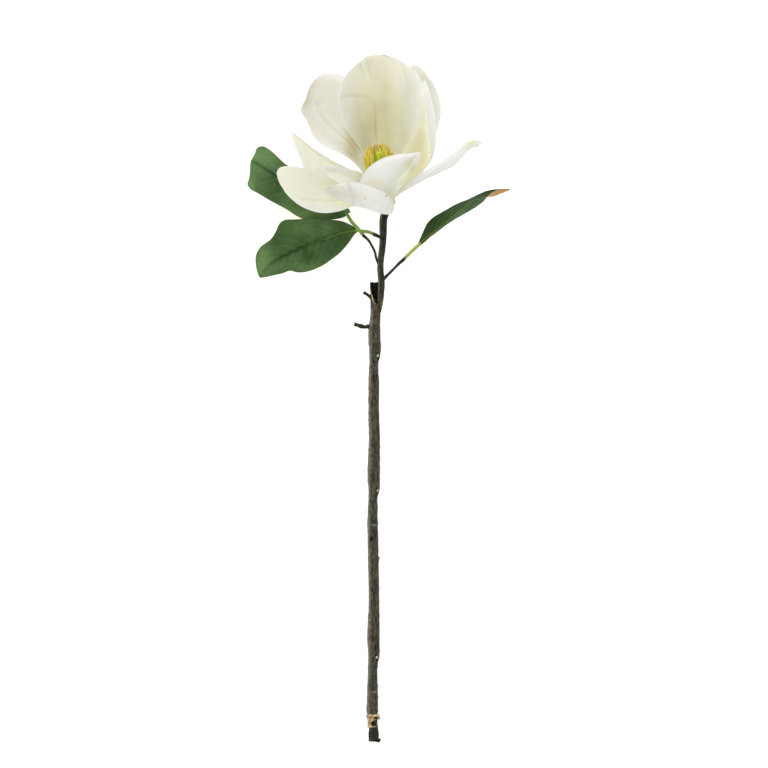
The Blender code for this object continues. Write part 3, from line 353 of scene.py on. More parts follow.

# How each petal is coloured: warmth is how cream its inner face is at its foot and its tip, outer_warmth the
# same of its outer face, and grey how much painted shade it has all over. A patch is its centre on the plan,
# its half width and half height, and its amount. The kinds are hollow (painted shade deep in the bloom), grey
# (more painted shade), yellow (the colour of the foot, and painted yellow green shade and glow where petals
# meet), bruise and speck (painted shade of a small gap between petals), and an amount under zero takes away.
# A crease is its line on the plan, its height over the inner face and its width.
PETAL_LOOKS = {
    "petal_back_cup": dict(
        warmth=(0.8, 0.35), outer_warmth=(0.6, 0.2), grey=0.12,
        patches=dict(grey=[(2, 285, 34, 40, 0.2), (0, 335, 40, 26, 0.3), (2, 280, 15, 46, 0.5),
                           (-30, 290, 8, 22, -0.25), (-27, 259, 9, 10, 0.18), (6, 252, 12, 12, 0.1)],
                     hollow=[(2, 276, 34, 40, 0.8), (-18, 258, 10, 22, 0.5), (8, 250, 16, 16, 0.3),
                             (29, 259, 7, 13, 0.3)],
                     yellow=[(29, 259, 7, 13, 0.4), (6, 252, 14, 14, -0.4)]),
        creases=[([(-12, 342), (-5, 320)], -1.4, 1.5), ([(-18, 335), (-14, 327)], -0.9, 1.3),
                 ([(-9.5, 341), (-3, 322)], 0.9, 1.3), ([(22, 335), (28, 318)], -0.6, 1.6),
                 ([(-39, 302), (-21.5, 304), (-10.2, 301), (-4, 295.2), (-2.1, 286.5), (-1.8, 261)],
                  -1.3, 1.4)]),
    "petal_right_inner": dict(
        warmth=(1.0, 0.6), outer_warmth=(0.25, 0.05), grey=0.02,
        patches=dict(grey=[(36, 255, 10, 34, 0.2)],
                     hollow=[(38, 246, 9, 30, 0.9), (44, 275, 5, 30, 0.6), (29, 258, 7, 13, 0.3)],
                     yellow=[(30, 256, 8, 14, 0.4)]),
        creases=[([(44, 306), (42, 275), (34, 250)], 0.5, 1.3)]),
    "petal_left_narrow": dict(
        warmth=(1.0, 0.2), outer_warmth=(0.5, 0.2), grey=0.0,
        patches=dict(grey=[(-50, 230, 16, 6, 0.5)]),
        creases=[([(-60, 231), (-40, 226), (-18, 218)], -0.5, 1.2)]),
    "petal_front_high": dict(
        warmth=(0.95, 0.9), outer_warmth=(0.2, 0.0), grey=0.0,
        patches=dict(grey=[(20, 240, 16, 9, 0.2)],
                     hollow=[(33, 231, 5, 9, 0.8)],
                     yellow=[(31, 231, 4, 8, 0.45), (23, 218, 4, 9, 0.5), (-4, 217, 10, 2.5, 0.5)],
                     speck=[(7.2, 204.2, 0.8, 0.8, 1.0)])),
    "petal_left_back": dict(
        warmth=(0.4, 0.0), outer_warmth=(0.5, 0.2), grey=0.48,
        patches=dict(hollow=[(-27, 258, 9, 24, 0.8)],
                     grey=[(-44, 298, 24, 26, 0.16), (-25, 250, 9, 20, 0.3), (-75, 290, 9, 16, 0.3)]),
        creases=[([(-61, 296), (-48, 286), (-34, 272), (-17, 249)], -1.4, 1.4),
                 ([(-64, 290), (-52, 275), (-30, 255)], 0.8, 1.8), ([(-30, 312), (-36, 290)], -0.8, 1.6)]),
    "petal_right_back": dict(
        warmth=(0.3, 0.15), outer_warmth=(0.3, 0.1), grey=0.0,
        patches=dict(grey=[(56, 322, 14, 12, 0.2)]),
        creases=[([(52, 318), (57, 300), (58, 280)], -0.5, 1.5)]),
    "petal_front_low": dict(
        warmth=(0.7, 0.6), outer_warmth=(0.15, 0.4), grey=0.0,
        patches=dict(grey=[(-46, 208, 16, 12, 0.8), (-24, 202, 14, 12, 0.45)],
                     bruise=[(-14, 202, 1.2, 1.2, 0.8), (-36.5, 211.5, 0.5, 0.5, 1.0),
                             (1.0, 207.5, 0.7, 0.7, 0.6), (8.5, 192.5, 1.5, 1.0, 0.4)],
                     speck=[(7.2, 204.2, 0.8, 0.8, 1.0)]),
        creases=[([(-31.5, 217), (-28, 205.2), (-26, 196)], -1.7, 0.95),
                 ([(-27, 217), (-20, 206), (-19, 198)], 0.5, 1.4)]),
    "petal_left_pointed": dict(
        warmth=(1.0, 0.45), outer_warmth=(0.5, 0.2), grey=0.18,
        patches=dict(yellow=[(-50, 217, 10, 6, 0.5)],
                     grey=[(-75, 250, 8, 16, 0.08)]),
        creases=[([(-86, 262), (-66, 243), (-40, 222)], -0.5, 1.4)]),
    "petal_left_blunt": dict(
        warmth=(1.0, 0.8), outer_warmth=(0.5, 0.2), grey=0.04,
        patches=dict(grey=[(-85, 222, 20, 16, 0.08)],
                     yellow=[(-50, 216, 11, 6, 0.45)]),
        creases=[([(-76.5, 201), (-60, 199), (-46, 199), (-34, 202)], -1.3, 1.1),
                 ([(-90, 212), (-70, 206), (-50, 206)], -0.4, 1.4)]),
    "petal_right_long": dict(
        warmth=(0.5, 0.3), outer_warmth=(0.1, 0.0), grey=0.0,
        patches=dict(yellow=[(91, 258.5, 8, 3.0, 0.7), (86, 252, 4, 5, 0.25)],
                     grey=[(93, 256, 11, 6, 0.3), (100, 259.5, 3, 1.4, 0.4)],
                     bruise=[(98.8, 254.8, 1.6, 1.2, 0.25)]),
        creases=[([(20, 212), (50, 228), (80, 246)], -0.5, 1.2)]),
}

# How each leaf is coloured: light is how pale its upper face is and side_light how much paler its right half
# is, as painted light on a folded leaf. A rib is pale or dark between two shares of the leaf's length, and
# its ridge underneath ends at the share rib_end; the right leaf's pale rib is a painted highlight along its
# crease. Patches are light or rusty (rust shows at the leaf's edge there), and are given as those of the
# petals are. A spot is its centre on the plan and its size.
LEAF_LOOKS = {
    "leaf_upper": dict(
        light=0.4, side_light=0.0, stalk="green", pale_rib_and_highlight=(-1.0, 0.1), dark_rib=(0.3, 0.92), rib_end=0.85,
        patches=dict(light=[(-112, 244, 20, 13, 0.55), (-129, 215, 5, 16, 0.4), (-70, 186, 30, 5, 0.3),
                            (-103, 214, 14, 12, -0.25), (-45, 185, 14, 6, -0.4), (-33, 189, 5, 4, 0.5)]),
        spots=[((-104.5, 215.5), 0.5)]),
    "leaf_lower": dict(
        light=0.27, side_light=0.05, stalk="green", pale_rib_and_highlight=(-1.0, 0.42), dark_rib=(0.36, 0.8), rib_end=0.85,
        patches=dict(light=[(-117, 136, 9, 22, 0.6), (-96, 152, 10, 16, -0.05), (-70, 172, 30, 8, 0.12),
                            (-80, 131, 24, 5, 0.25), (-60, 145, 12, 8, -0.12)],
                     rusty=[(-23, 165, 5, 7, 1.0)]),
        spots=[((-20.0, 169.5), 1.2)]),
    # the right leaf's paler half, its pale rib and its light patches are painted light on its fold
    "leaf_right": dict(
        light=0.0, side_light=0.22, stalk="young", pale_rib_and_highlight=(-1.0, 0.85), dark_rib=(2.0, 2.0), rib_end=0.5,
        patches=dict(rusty=[(54, 162, 10, 8, 1.0)],
                     light=[(75, 188, 22, 4, 0.05), (56, 174, 10, 9, 0.12)])),
}


def leaf_scar(x, pit, rise):
    """The marks of one leaf scar: a pale scar that rises from a dark pit, under a dark lip. The pit is
    painted shadow below the scar.
    """
    return [("dark", (x - 1.0, pit + 4.8), (1.7, 1.6), 0.0, 0.8),
            ("dark", (x + 0.5, pit), (1.3, 1.8), -0.2, 1.0), ("scar", (x, pit + rise), (0.8, 1.5), 0.3, 1.0)]


# Marks on the bark: what it is, its centre on the plan, its half width and half height, how far it stands out
# and how strong its colour is
STEM_MARKS = [
    # the dark pits of the leaf scars are painted shadow
    *leaf_scar(-1.2, 41.6, 3.0), *leaf_scar(-1.3, -93.4, 2.9), *leaf_scar(-2.2, -260.2, 2.8),
    ("film_and_highlight", (-4.5, -125.0), (3.8, 0.6), 0.15, 0.8), ("film_and_highlight", (-4.5, -292.0), (3.8, 0.6), 0.15, 0.8),
    ("dark", (-7.6, -139.0), (2.0, 3.0), -0.2, 0.9), ("tan", (0.6, -158.0), (1.4, 2.2), 1.4, 1.0),
    ("film_and_highlight", (-10.6, -20.0), (1.6, 1.0), 0.8, 0.6), ("film_and_highlight", (-10.6, -50.0), (1.6, 0.9), 0.8, 0.6),
    ("film_and_highlight", (-10.8, -157.0), (1.6, 0.9), 0.8, 0.6), ("film_and_highlight", (-11.4, -218.0), (1.6, 0.9), 0.7, 0.6),
    ("dark", (-4.5, -342.0), (9.0, 2.6), 0.0, 1.0), ("dark", (-10.2, -335.0), (1.8, 9.0), 0.0, 1.0),
    ("dark", (-4.5, -334.0), (9.0, 9.0), 0.0, 0.66), ("dark", (0.3, -339.9), (1.8, 1.7), 2.0, 1.0),
    ("dark", (-4.5, 38.0), (2.6, 1.6), -0.2, 0.4), ("dark", (-5.0, 22.0), (0.9, 9.0), -0.3, 0.8),
    ("dark", (-3.6, 0.0), (0.8, 8.0), -0.3, 0.7), ("dark", (-2.6, -318.9), (2.4, 2.0), 0.0, 1.0),
    ("dark", (-5.2, -323.7), (2.8, 2.8), 0.0, 0.85),
]
UPPER_MARKS = [("moss", (3.0, 96.0), (1.5, 6.0), 0.0, 1.0)]
TWIG_MARKS = [("tan", (-15.8, 107.9), (1.2, 1.3), 0.0, 0.5), ("tan", (-25.0, 76.0), (1.4, 1.6), 0.0, 0.5),
              ("moss", (4.5, 121.5), (2.0, 2.0), 0.0, 0.5)]

# Torn bark sleeve, from the top of the thick stem to its head: how far down its front is torn, how far round
# the tear is turned, how ragged its edge is, how much its wall waves and how far it opens towards its head
SLEEVE_HEAD = (-3.8, 118.6, 24.4)
SLEEVE_RADIUS = 4.4
SLEEVE_WALL = 0.9
SLEEVE_TEAR = 21.0
SLEEVE_TURN = 0.3
SLEEVE_RAGGED = 2.4
SLEEVE_FINE_RAGGED = 0.8
SLEEVE_WAVE = 0.4
SLEEVE_FLARE = 0.5
SLEEVE_COLUMNS = 72
SLEEVE_ROWS = 30
# pale torn fibres show along this depth of the sleeve's edge, round this patch of the plan
SLEEVE_EDGE = 2.6
SLEEVE_FIBRES = dict(torn=[(-6.0, 102.0, 3.0, 4.5, 1.2)])

# The bark turns from grey green to brown over this stretch of the plan
COOL_UP_TO = -20.0
WARMING = 90.0
LEAST_WARMTH = 0.25

# Scrap of inner bark near the cut end: the plan's y of its top and bottom, and its thickness
BAND_TOP = -313.9
BAND_BOTTOM = -328.0
BAND_WALL = 0.6
# the middle line of the stem inside the band, its x and z, and the stem's radius there
BAND_AXIS = (-5.9, 6.2)
BAND_STEM_RADIUS = 4.5
# the band stands this far off the stem, and up to twice as much further where it is loose
BAND_GAP = 0.25
# how ragged its outline is, how far its flakes stand up, and from which share of them on they are kept
BAND_RAGGED = 0.5
FLAKE_HEIGHT = 1.6
FLAKE_EDGE = 0.35
BAND_COLUMNS = 144
BAND_ROWS = 84

# Patches of the bark band: lilac and nub are flakes that stand up, and the rest are marks; the cream marks
# are painted highlights and the dark marks painted shade in its creases
BAND_FLAKES = dict(
    lilac=[(-11.2, -316.3, 1.2, 2.2, 1.0)],
    nub=[(-0.2, -317.6, 1.8, 2.2, 1.0)],
    dark=[(-8.2, -317.4, 1.3, 0.6, 0.9), (-1.8, -319.4, 1.6, 1.2, 0.9), (-6.8, -315.5, 0.6, 1.2, 0.5),
          (-3.6, -327.3, 1.2, 0.6, 0.5), (-9.0, -322.0, 0.5, 1.6, 0.5)],
    pink=[(-5.6, -320.0, 2.6, 0.8, 0.9), (-8.5, -326.0, 1.5, 2.0, 0.4)],
    cream=[(-8.4, -315.4, 1.2, 0.9, 0.8), (-3.6, -315.6, 2.0, 0.9, 0.9), (-9.3, -326.8, 0.8, 1.8, 0.8),
           (-6.0, -318.4, 1.0, 0.6, 0.5)])


def srgb(red, green, blue):
    """A colour as a painter reads it, 0 to 255 a channel, as the linear values that Blender mixes."""
    shares = [channel / 255.0 for channel in (red, green, blue)]
    return tuple(s / 12.92 if s <= 0.04045 else ((s + 0.055) / 1.055) ** 2.4 for s in shares)


# Colours of small marks and hidden faces
# painted shade of a small gap between two petals
GAP_SHADE = srgb(40, 38, 34)
DARK_RIB = srgb(46, 52, 28)
LEAF_SPOT = srgb(196, 132, 52)
FELT_VEIN = srgb(206, 164, 118)
STALK_BROWN = srgb(120, 92, 48)
# dark marks and dark twigs; in the pits below the leaf scars it is painted shadow
DARK_BARK = srgb(12, 12, 5)
# painted shade on the inner face of the torn bark sleeve, nearly black to dark olive
SLEEVE_SHADE = (srgb(12, 11, 8), srgb(64, 62, 46))
FIBRE_BROWN = srgb(112, 84, 52)
# the band's cream marks are painted highlights and its dark marks painted shade in its creases
BAND_MARKS = (("cream", srgb(234, 218, 172)), ("pink", srgb(196, 160, 128)), ("lilac", srgb(140, 132, 138)),
              ("dark", srgb(34, 28, 18)))
SEAT_CREAM = srgb(222, 220, 190)
STYLE_GREEN = srgb(228, 236, 84)
STYLE_TIP = srgb(214, 194, 84)
# how far red, green and blue light scatter in a petal, as shares of its scatter distance
PETAL_SCATTER = (1.0, 0.9, 0.6)

# What the shared node groups are given: a socket's name, its kind and its default
NOISE_INPUTS = (
    ("Scale", "NodeSocketFloat", 300.0), ("Detail", "NodeSocketFloat", 3.0),
    ("Roughness", "NodeSocketFloat", 0.55), ("Stretch", "NodeSocketVector", (1.0, 1.0, 1.0)))
LIMIT_INPUTS = (
    ("Low", "NodeSocketFloat", 0.3), ("High", "NodeSocketFloat", 0.7),
    ("At Low", "NodeSocketFloat", 0.0), ("At High", "NodeSocketFloat", 1.0))
NODE_GAP = 200.0
NODES_A_ROW = 8


def paint(name, description, red, green, blue):
    """A colour that a user can change."""
    return FloatVectorProperty(name=name, description=description, default=srgb(red, green, blue), min=0.0,
                               max=1.0, subtype="COLOR")


def length(name, description, default, least, most):
    """A length in metres that a user can change."""
    return FloatProperty(name=name, description=description, default=default, min=least, max=most,
                         unit="LENGTH", subtype="DISTANCE")


class PetalSettings(bpy.types.PropertyGroup):
    """Size, relief and colours of the petals"""
    thickness: length("Thickness", "Thickness of a petal at its middle", 0.0008, 0.0002, 0.003)
    margin: FloatProperty(
        name="Margin", description="Thickness of a petal's margin, as a share of its middle", default=0.4,
        min=0.05, max=1.0, subtype="FACTOR")
    vein_height: length(
        "Vein height", "Height of the fine veins that fan out from the foot", 0.00006, 0.0, 0.001)
    sway: length("Sway", "How far the margins wave", 0.0007, 0.0, 0.005)
    white: paint("White", "Colour of the outer petals and the margins", 240, 241, 237)
    cream: paint("Cream", "Colour of the inner faces", 232, 230, 207)
    foot: paint("Foot", "Yellow green of a petal's foot", 234, 228, 168)
    # painted shade deep in the cup of the bloom
    hollow: paint("Hollow", "Colour deep in the cup of the bloom", 208, 205, 172)
    blemish: paint("Blemish", "Colour of the small bruises", 214, 176, 140)


class HeartSettings(bpy.types.PropertyGroup):
    """Stamens, carpels and receptacle"""
    stamen_count: IntProperty(
        name="Stamens", description="Number of stamens in the brush", default=260, min=20, max=500)
    stamen_radius: length("Stamen radius", "Half the width of a stamen", 0.00038, 0.0002, 0.002)
    style_count: IntProperty(
        name="Styles", description="Number of curled styles on the carpel cone", default=46, min=8, max=120)
    yellow: paint("Yellow", "Colour of the stamens", 242, 230, 100)
    orange: paint("Orange", "Colour of the stamens' tips", 206, 134, 34)
    lime: paint("Lime", "Colour of the carpels and of the stamens' feet", 190, 212, 14)
    seat: paint("Seat", "Colour of the receptacle", 150, 165, 105)


class LeafSettings(bpy.types.PropertyGroup):
    """Size, veins and colours of the leaves"""
    thickness: length("Thickness", "Thickness of a leaf blade", 0.0007, 0.0002, 0.003)
    vein_count: IntProperty(
        name="Side veins", description="Number of side veins on each half of a leaf", default=13, min=3,
        max=40)
    vein_depth: length("Vein depth", "Depth of the side veins", 0.00012, 0.0, 0.002)
    dark: paint("Dark green", "Colour of the upper face between its veins", 36, 62, 26)
    light: paint("Light green", "Colour of the paler patches", 108, 140, 86)
    # also the colour of the painted highlight along the right leaf's crease
    midrib: paint("Midrib", "Colour of the midrib near the stalk", 118, 150, 62)
    rust: paint("Rust", "Colour of the felted underside", 198, 146, 84)
    stalk: paint("Stalk", "Colour of the leaf stalks", 124, 160, 74)
    young_stalk: paint("Young stalk", "Yellow green of the youngest leaf stalk", 160, 172, 74)


class BarkSettings(bpy.types.PropertyGroup):
    """Relief and colours of the stem, the twigs and the bark band"""
    ridge_height: length("Ridge height", "Height of the bark's lengthwise ridges", 0.00045, 0.0, 0.002)
    # the furrows are darker partly in the bark's own colour and partly as painted shade
    furrow: paint("Furrow", "Colour deep in the bark", 30, 29, 21)
    brown: paint("Brown", "Colour of the warmer patches of the ridges", 108, 94, 84)
    ridge: paint("Ridge", "Colour of the bark's ridges", 94, 92, 77)
    # the grey of the bark's pale rings and flakes, which also paints a highlight down its left side
    bloom: paint("Grey film", "Grey film on the sides of the bark", 140, 135, 128)
    scar: paint("Scar", "Colour of the fresh leaf scars", 228, 222, 204)
    tan: paint("Inner bark", "Colour of the torn inner bark", 208, 174, 118)
    moss: paint("Moss", "Yellow green of the bruised upper stem", 142, 138, 70)


class StageSettings(bpy.types.PropertyGroup):
    """Floor and light"""
    floor_size: length("Floor", "Side of the square floor", 12.0, 1.0, 50.0)
    floor_colour: FloatVectorProperty(
        name="Floor colour", description="Colour of the floor", default=(0.7, 0.7, 0.7), min=0.0, max=1.0,
        subtype="COLOR")
    sky: FloatProperty(
        name="Sky", description="Strength of the even light from all round", default=0.77, min=0.0, max=5.0)
    key_power: FloatProperty(
        name="Key light", description="Power of the large soft light, in watts", default=27.0, min=0.0,
        max=1000.0, unit="POWER")
    floor_glow: FloatProperty(
        name="Floor glow", description="Light of its own that keeps the floor pale", default=0.64, min=0.0,
        max=2.0)


def plan(x, y, z):
    """The place in space of a point at height z that shows at (x, y) of the plan."""
    scale = (EYE_HEIGHT - z) / (EYE_HEIGHT - PLAN_HEIGHT)
    return np.array([AIM[0] + (x - AIM[0]) * scale, AIM[1] + (y - AIM[1]) * scale, z])


def shown_at(points):
    """The plan's (x, y) that points in space show at: the other way round from plan."""
    scale = (EYE_HEIGHT - PLAN_HEIGHT) / (EYE_HEIGHT - points[..., 2:3])
    return np.array(AIM) + (points[..., :2] - np.array(AIM)) * scale


def unit(vector):
    """The vector, or each of an array of them, at a length of one."""
    return vector / np.maximum(np.linalg.norm(vector, axis=-1, keepdims=True), 1e-9)


AXIS = unit(np.array(BLOOM_AXIS))
FRONT = unit(np.cross([1.0, 0.0, 0.0], AXIS))
RIGHT = np.cross(AXIS, FRONT)


def on_axis(height):
    """A point of the bloom's axis, height up from its base."""
    return plan(*BLOOM_BASE) + AXIS * height


def outward(azimuth):
    """The direction out from the bloom's axis: 0 is right, 90 is up off the table."""
    turn = math.radians(azimuth)
    return math.cos(turn) * RIGHT + math.sin(turn) * FRONT


def rail_from(start, points, tip):
    """A line from a place in space through points on the plan to another place in space."""
    return [start] + [plan(*point) for point in points] + [tip]


def in_space(stations, swell=1.0):
    """Stations of a rod, (x, y, z, radius) on the plan, as places in space with their radius."""
    return [[*plan(x, y, z), radius * swell] for x, y, z, radius in stations]


def claw(azimuth, whorl):
    """Left, middle and right point of a petal's narrow foot."""
    height, radius, spread = whorl
    return [on_axis(height) + outward(azimuth + turn) * radius for turn in (-spread, 0, spread)]


def ramp(values, start, stretch):
    """0 up to start, and from there an even rise over the stretch to 1."""
    return np.clip((values - start) / stretch, 0, 1)


def soft(distance, width):
    """1 where the distance is zero, falling off softly over about the width."""
    return np.exp(-(distance / width) ** 2)


def blend(x, start, end, first, second):
    """Straight blend from first, at start, to second, at end."""
    return ((end - x) * first + (x - start) * second) / (end - start)


def through(knots, points, x):
    """A smooth (Catmull-Rom) curve that passes the points at the knots, read at each x."""
    padded = np.concatenate([[2 * points[0] - points[1]], points, [2 * points[-1] - points[-2]]])
    times = np.concatenate([[2 * knots[0] - knots[1]], knots, [2 * knots[-1] - knots[-2]]])
    i = np.clip(np.searchsorted(knots, x, side="right"), 1, len(points) - 1)
    column = (-1,) + (1,) * (points.ndim - 1)
    p = [padded[i + k] for k in (-1, 0, 1, 2)]
    t = [times[i + k].reshape(column) for k in (-1, 0, 1, 2)]
    x = x.reshape(column)
    a = [blend(x, t[k], t[k + 1], p[k], p[k + 1]) for k in range(3)]
    b = [blend(x, t[k], t[k + 2], a[k], a[k + 1]) for k in range(2)]
    return blend(x, t[1], t[2], b[0], b[1])


def smooth_curve(points, shares):
    """Points at the given shares of the length of a smooth curve through the given points."""
    points = np.asarray(points, float)
    steps = np.linalg.norm(np.diff(points[:, :3], axis=0), axis=1) ** 0.5
    knots = np.concatenate([[0.0], np.cumsum(steps)])
    curve = through(knots, points, np.linspace(0.0, knots[-1], CURVE_SAMPLES))
    lengths = np.linalg.norm(np.diff(curve[:, :3], axis=0), axis=1)
    run = np.concatenate([[0.0], np.cumsum(lengths)])
    want = np.asarray(shares) * run[-1]
    return np.stack([np.interp(want, run, values) for values in curve.T], -1)


def loft(rails, places, arch, end, rows, columns):
    """A grid of points on the blade that the rails draw, up to the share end of their length.

    Row 0 is the foot and column 0 the left margin. Towards a blunt tip the inner rails run ahead of the
    margins, by the arch, so that rows follow the round of the tip.
    """
    along = end * (1 - (1 - np.linspace(0, 1, rows + 1)) ** ROW_CROWDING)
    lines = []
    for rail, place in zip(rails, places):
        ahead = 1 + (arch - 1) * (1 - place * place)
        lines.append(smooth_curve(rail, 1 - (1 - along) ** ahead))
    lines = np.stack(lines)
    v = np.linspace(-1, 1, columns + 1)
    if len(lines) > 3:
        return through(np.asarray(places), lines, v).swapaxes(0, 1)
    left, middle, right = lines[:, :, None, :]
    v = v[None, :, None]
    return middle + (right - left) * v / 2 + ((left + right) / 2 - middle) * v * v


def creased(grid, fold):
    """Turns the round section of a leaf blade part of the way to a straight V at its midrib."""
    columns = grid.shape[1]
    centre = columns // 2
    v = np.abs(np.linspace(-1, 1, columns))[None, :, None]
    middle = grid[:, centre:centre + 1]
    straight_left = middle + (grid[:, :1] - middle) * v
    straight_right = middle + (grid[:, -1:] - middle) * v
    straight = np.where(np.arange(columns)[None, :, None] < centre, straight_left, straight_right)
    return grid + (straight - grid) * fold


def waved(grid, height, count):
    """Lifts and drops the margins of a leaf blade in soft waves."""
    along, across = shares_of(grid)
    turn = 2 * np.pi * count * along + np.where(across < 0, 0.0, np.pi / 2)
    lift = height * np.abs(across) ** 3 * np.sin(turn) * np.sin(np.pi * along)
    out = grid.copy()
    out[..., 2] += lift
    return out


def relaxed(grid, start, rounds):
    """Evens out the points of a blade near its tip, where its rows crowd."""
    share = np.clip((np.linspace(0, 1, len(grid)) - start) / (1 - start), 0, 1)[:, None, None] * 0.5
    for _ in range(rounds):
        even = grid.copy()
        even[1:-1, 1:-1] = (grid[:-2, 1:-1] + grid[2:, 1:-1] + grid[1:-1, :-2] + grid[1:-1, 2:]) / 4
        even[1:-1, 0] = (grid[:-2, 0] + grid[2:, 0]) / 2
        even[1:-1, -1] = (grid[:-2, -1] + grid[2:, -1]) / 2
        even[-1, 1:-1] = (grid[-1, :-2] + grid[-1, 2:]) / 2
        grid = grid + (even - grid) * share
    return grid


def patch(where, patches, kind):
    """Soft round patches of one kind, each (x, y, half width, half height, amount) on the plan, added up."""
    total = np.zeros(where.shape[:-1])
    for x, y, half_width, half_height, amount in patches.get(kind, ()):
        away = (where - np.array((x, y))) / np.array((half_width, half_height))
        total = total + amount * np.exp(-(away ** 2).sum(-1))
    return total


def shares_of(grid):
    """The share along a grid, from 0 to 1, of each row, and across it, from -1 to 1, of each column."""
    rows, columns = grid.shape[:2]
    return np.linspace(0, 1, rows)[:, None], np.linspace(-1, 1, columns)[None, :]


def face_normals(points):
    """The direction out of the face of a grid of points, at each of them."""
    return unit(np.cross(np.gradient(points, axis=1), np.gradient(points, axis=0)))


def cloudy(points, size, shift=0.0):
    """Soft noise from -1 to 1 at each point of an array, with lumps of about the given size."""
    flat = points.reshape(-1, points.shape[-1]) / size + shift
    values = [noise.noise(Vector(p)) for p in flat]
    return np.array(values).reshape(points.shape[:-1])


def noise_round(angle, size, height):
    """Soft noise from -1 to 1 on a circle, so that it meets itself once round."""
    return noise.noise(Vector((math.cos(angle) * size, math.sin(angle) * size, height)))


def distance_to(places, line):
    """How far each place on the plan is from a line of points there."""
    nearest = np.full(places.shape[:-1], 1e9)
    for start, end in zip(np.array(line[:-1], float), np.array(line[1:], float)):
        run = end - start
        share = np.clip(((places - start) @ run) / (run @ run), 0, 1)
        nearest = np.minimum(nearest, np.linalg.norm(places - start - share[..., None] * run, axis=-1))
    return nearest


def select_only(piece):
    """Selects one piece and makes it the active one."""
    bpy.ops.object.select_all(action="DESELECT")
    piece.select_set(True)
    bpy.context.view_layer.objects.active = piece


def flat_grid(name, rows, columns):
    """A flat one-unit grid of faces, columns along its x and rows along its y."""
    bpy.ops.object.select_all(action="DESELECT")
    bpy.ops.mesh.primitive_grid_add(x_subdivisions=columns, y_subdivisions=rows, size=1.0)
    piece = bpy.context.active_object
    piece.name = name
    piece.data.name = name
    return piece


def lay(piece, points):
    """Moves the points of a flat grid to the given places, and tells which row and column each point has."""
    rows, columns = points.shape[0] - 1, points.shape[1] - 1
    flat = np.empty(len(piece.data.vertices) * 3)
    piece.data.vertices.foreach_get("co", flat)
    flat = flat.reshape(-1, 3)
    column = np.rint((flat[:, 0] + 0.5) * columns).astype(int)
    row = np.rint((flat[:, 1] + 0.5) * rows).astype(int)
    piece.data.vertices.foreach_set("co", (points[row, column] * MM).ravel())
    piece.data.update()
    return row, column


def note(piece, name, values, row, column):
    """Keeps a value for each point of the grid as a named attribute."""
    attribute = piece.data.attributes.new(name, "FLOAT", "POINT")
    attribute.data.foreach_set("value", values[row, column].astype(np.float32))


def new_grid(name, points, **notes):
    """A grid piece at the given points, with a named attribute for each of the notes."""
    piece = flat_grid(name, points.shape[0] - 1, points.shape[1] - 1)
    row, column = lay(piece, points)
    for key, values in notes.items():
        note(piece, key, values, row, column)
    return piece


def rolled(points, radii, sides):
    """A grid of points on a tube of round section along the given points, with a closed point at each end.

    Its last column is its first again.
    """
    points = np.asarray(points, float)
    radii = np.asarray(radii, float)
    ahead = unit(np.gradient(points, axis=0))
    side = np.cross(ahead[0], (0.0, 0.0, 1.0) if abs(ahead[0][2]) < 0.9 else (1.0, 0.0, 0.0))
    sides_out, ups = [], []
    for direction in ahead:
        side = unit(side - direction * (side @ direction))
        sides_out.append(side)
        ups.append(np.cross(direction, side))
    turn = np.linspace(0, 2 * np.pi, sides + 1)[None, :, None]
    sides_out = np.array(sides_out)[:, None, :]
    ups = np.array(ups)[:, None, :]
    ring = points[:, None, :] + (np.cos(turn) * sides_out + np.sin(turn) * ups) * radii[:, None, None]
    first, last = (np.repeat(points[None, i:i + 1 or None], sides + 1, axis=1) for i in (0, -1))
    return np.concatenate([first, ring, last])


def capped(corners, steps, foot, top):
    """A smooth (radius, height) profile through the corners, closed on the axis at its foot and its top."""
    profile = smooth_curve(corners, np.linspace(0, 1, steps))
    return [(0.0, foot)] + [tuple(point) for point in profile] + [(0.0, top)]


def turned(profile, sides):
    """A grid of points turned round the bloom's axis from (radius, height) points, from the foot up."""
    turn = np.linspace(0, 2 * np.pi, sides + 1)
    rows = []
    for radius, height in profile:
        rows.append([on_axis(height) + (math.cos(t) * RIGHT - math.sin(t) * FRONT) * radius for t in turn])
    return np.array(rows)


def meet(grid):
    """Makes the seam of a round grid meet, and each of its ends a single point."""
    grid[:, -1] = grid[:, 0]
    grid[0], grid[-1] = grid[0, 0], grid[-1, 0]


def weld(piece):
    """Welds the seams and poles of a piece and turns all its faces outwards."""
    select_only(piece)
    bpy.ops.object.mode_set(mode="EDIT")
    bpy.ops.mesh.select_all(action="SELECT")
    bpy.ops.mesh.remove_doubles(threshold=WELD)
    bpy.ops.mesh.normals_make_consistent(inside=False)
    bpy.ops.object.mode_set(mode="OBJECT")
    bpy.ops.object.shade_smooth()


def cut_away(piece, keep):
    """Deletes the faces of a grid that have a corner where the attribute keep is under a half."""
    select_only(piece)
    bpy.ops.object.mode_set(mode="EDIT")
    bpy.ops.mesh.select_mode(type="FACE")
    bpy.ops.mesh.select_all(action="DESELECT")
    bpy.ops.object.mode_set(mode="OBJECT")
    kept = [value.value for value in piece.data.attributes[keep].data]
    for polygon in piece.data.polygons:
        polygon.select = min(kept[corner] for corner in polygon.vertices) < 0.5
    bpy.ops.object.mode_set(mode="EDIT")
    bpy.ops.mesh.delete(type="FACE")
    bpy.ops.object.mode_set(mode="OBJECT")


def join(pieces, name):
    """Joins pieces to the first of them, as one mesh."""
    bpy.ops.object.select_all(action="DESELECT")
    for piece in pieces:
        piece.select_set(True)
    bpy.context.view_layer.objects.active = pieces[0]
    bpy.ops.object.join()
    pieces[0].name = name
    pieces[0].data.name = name
    return pieces[0]


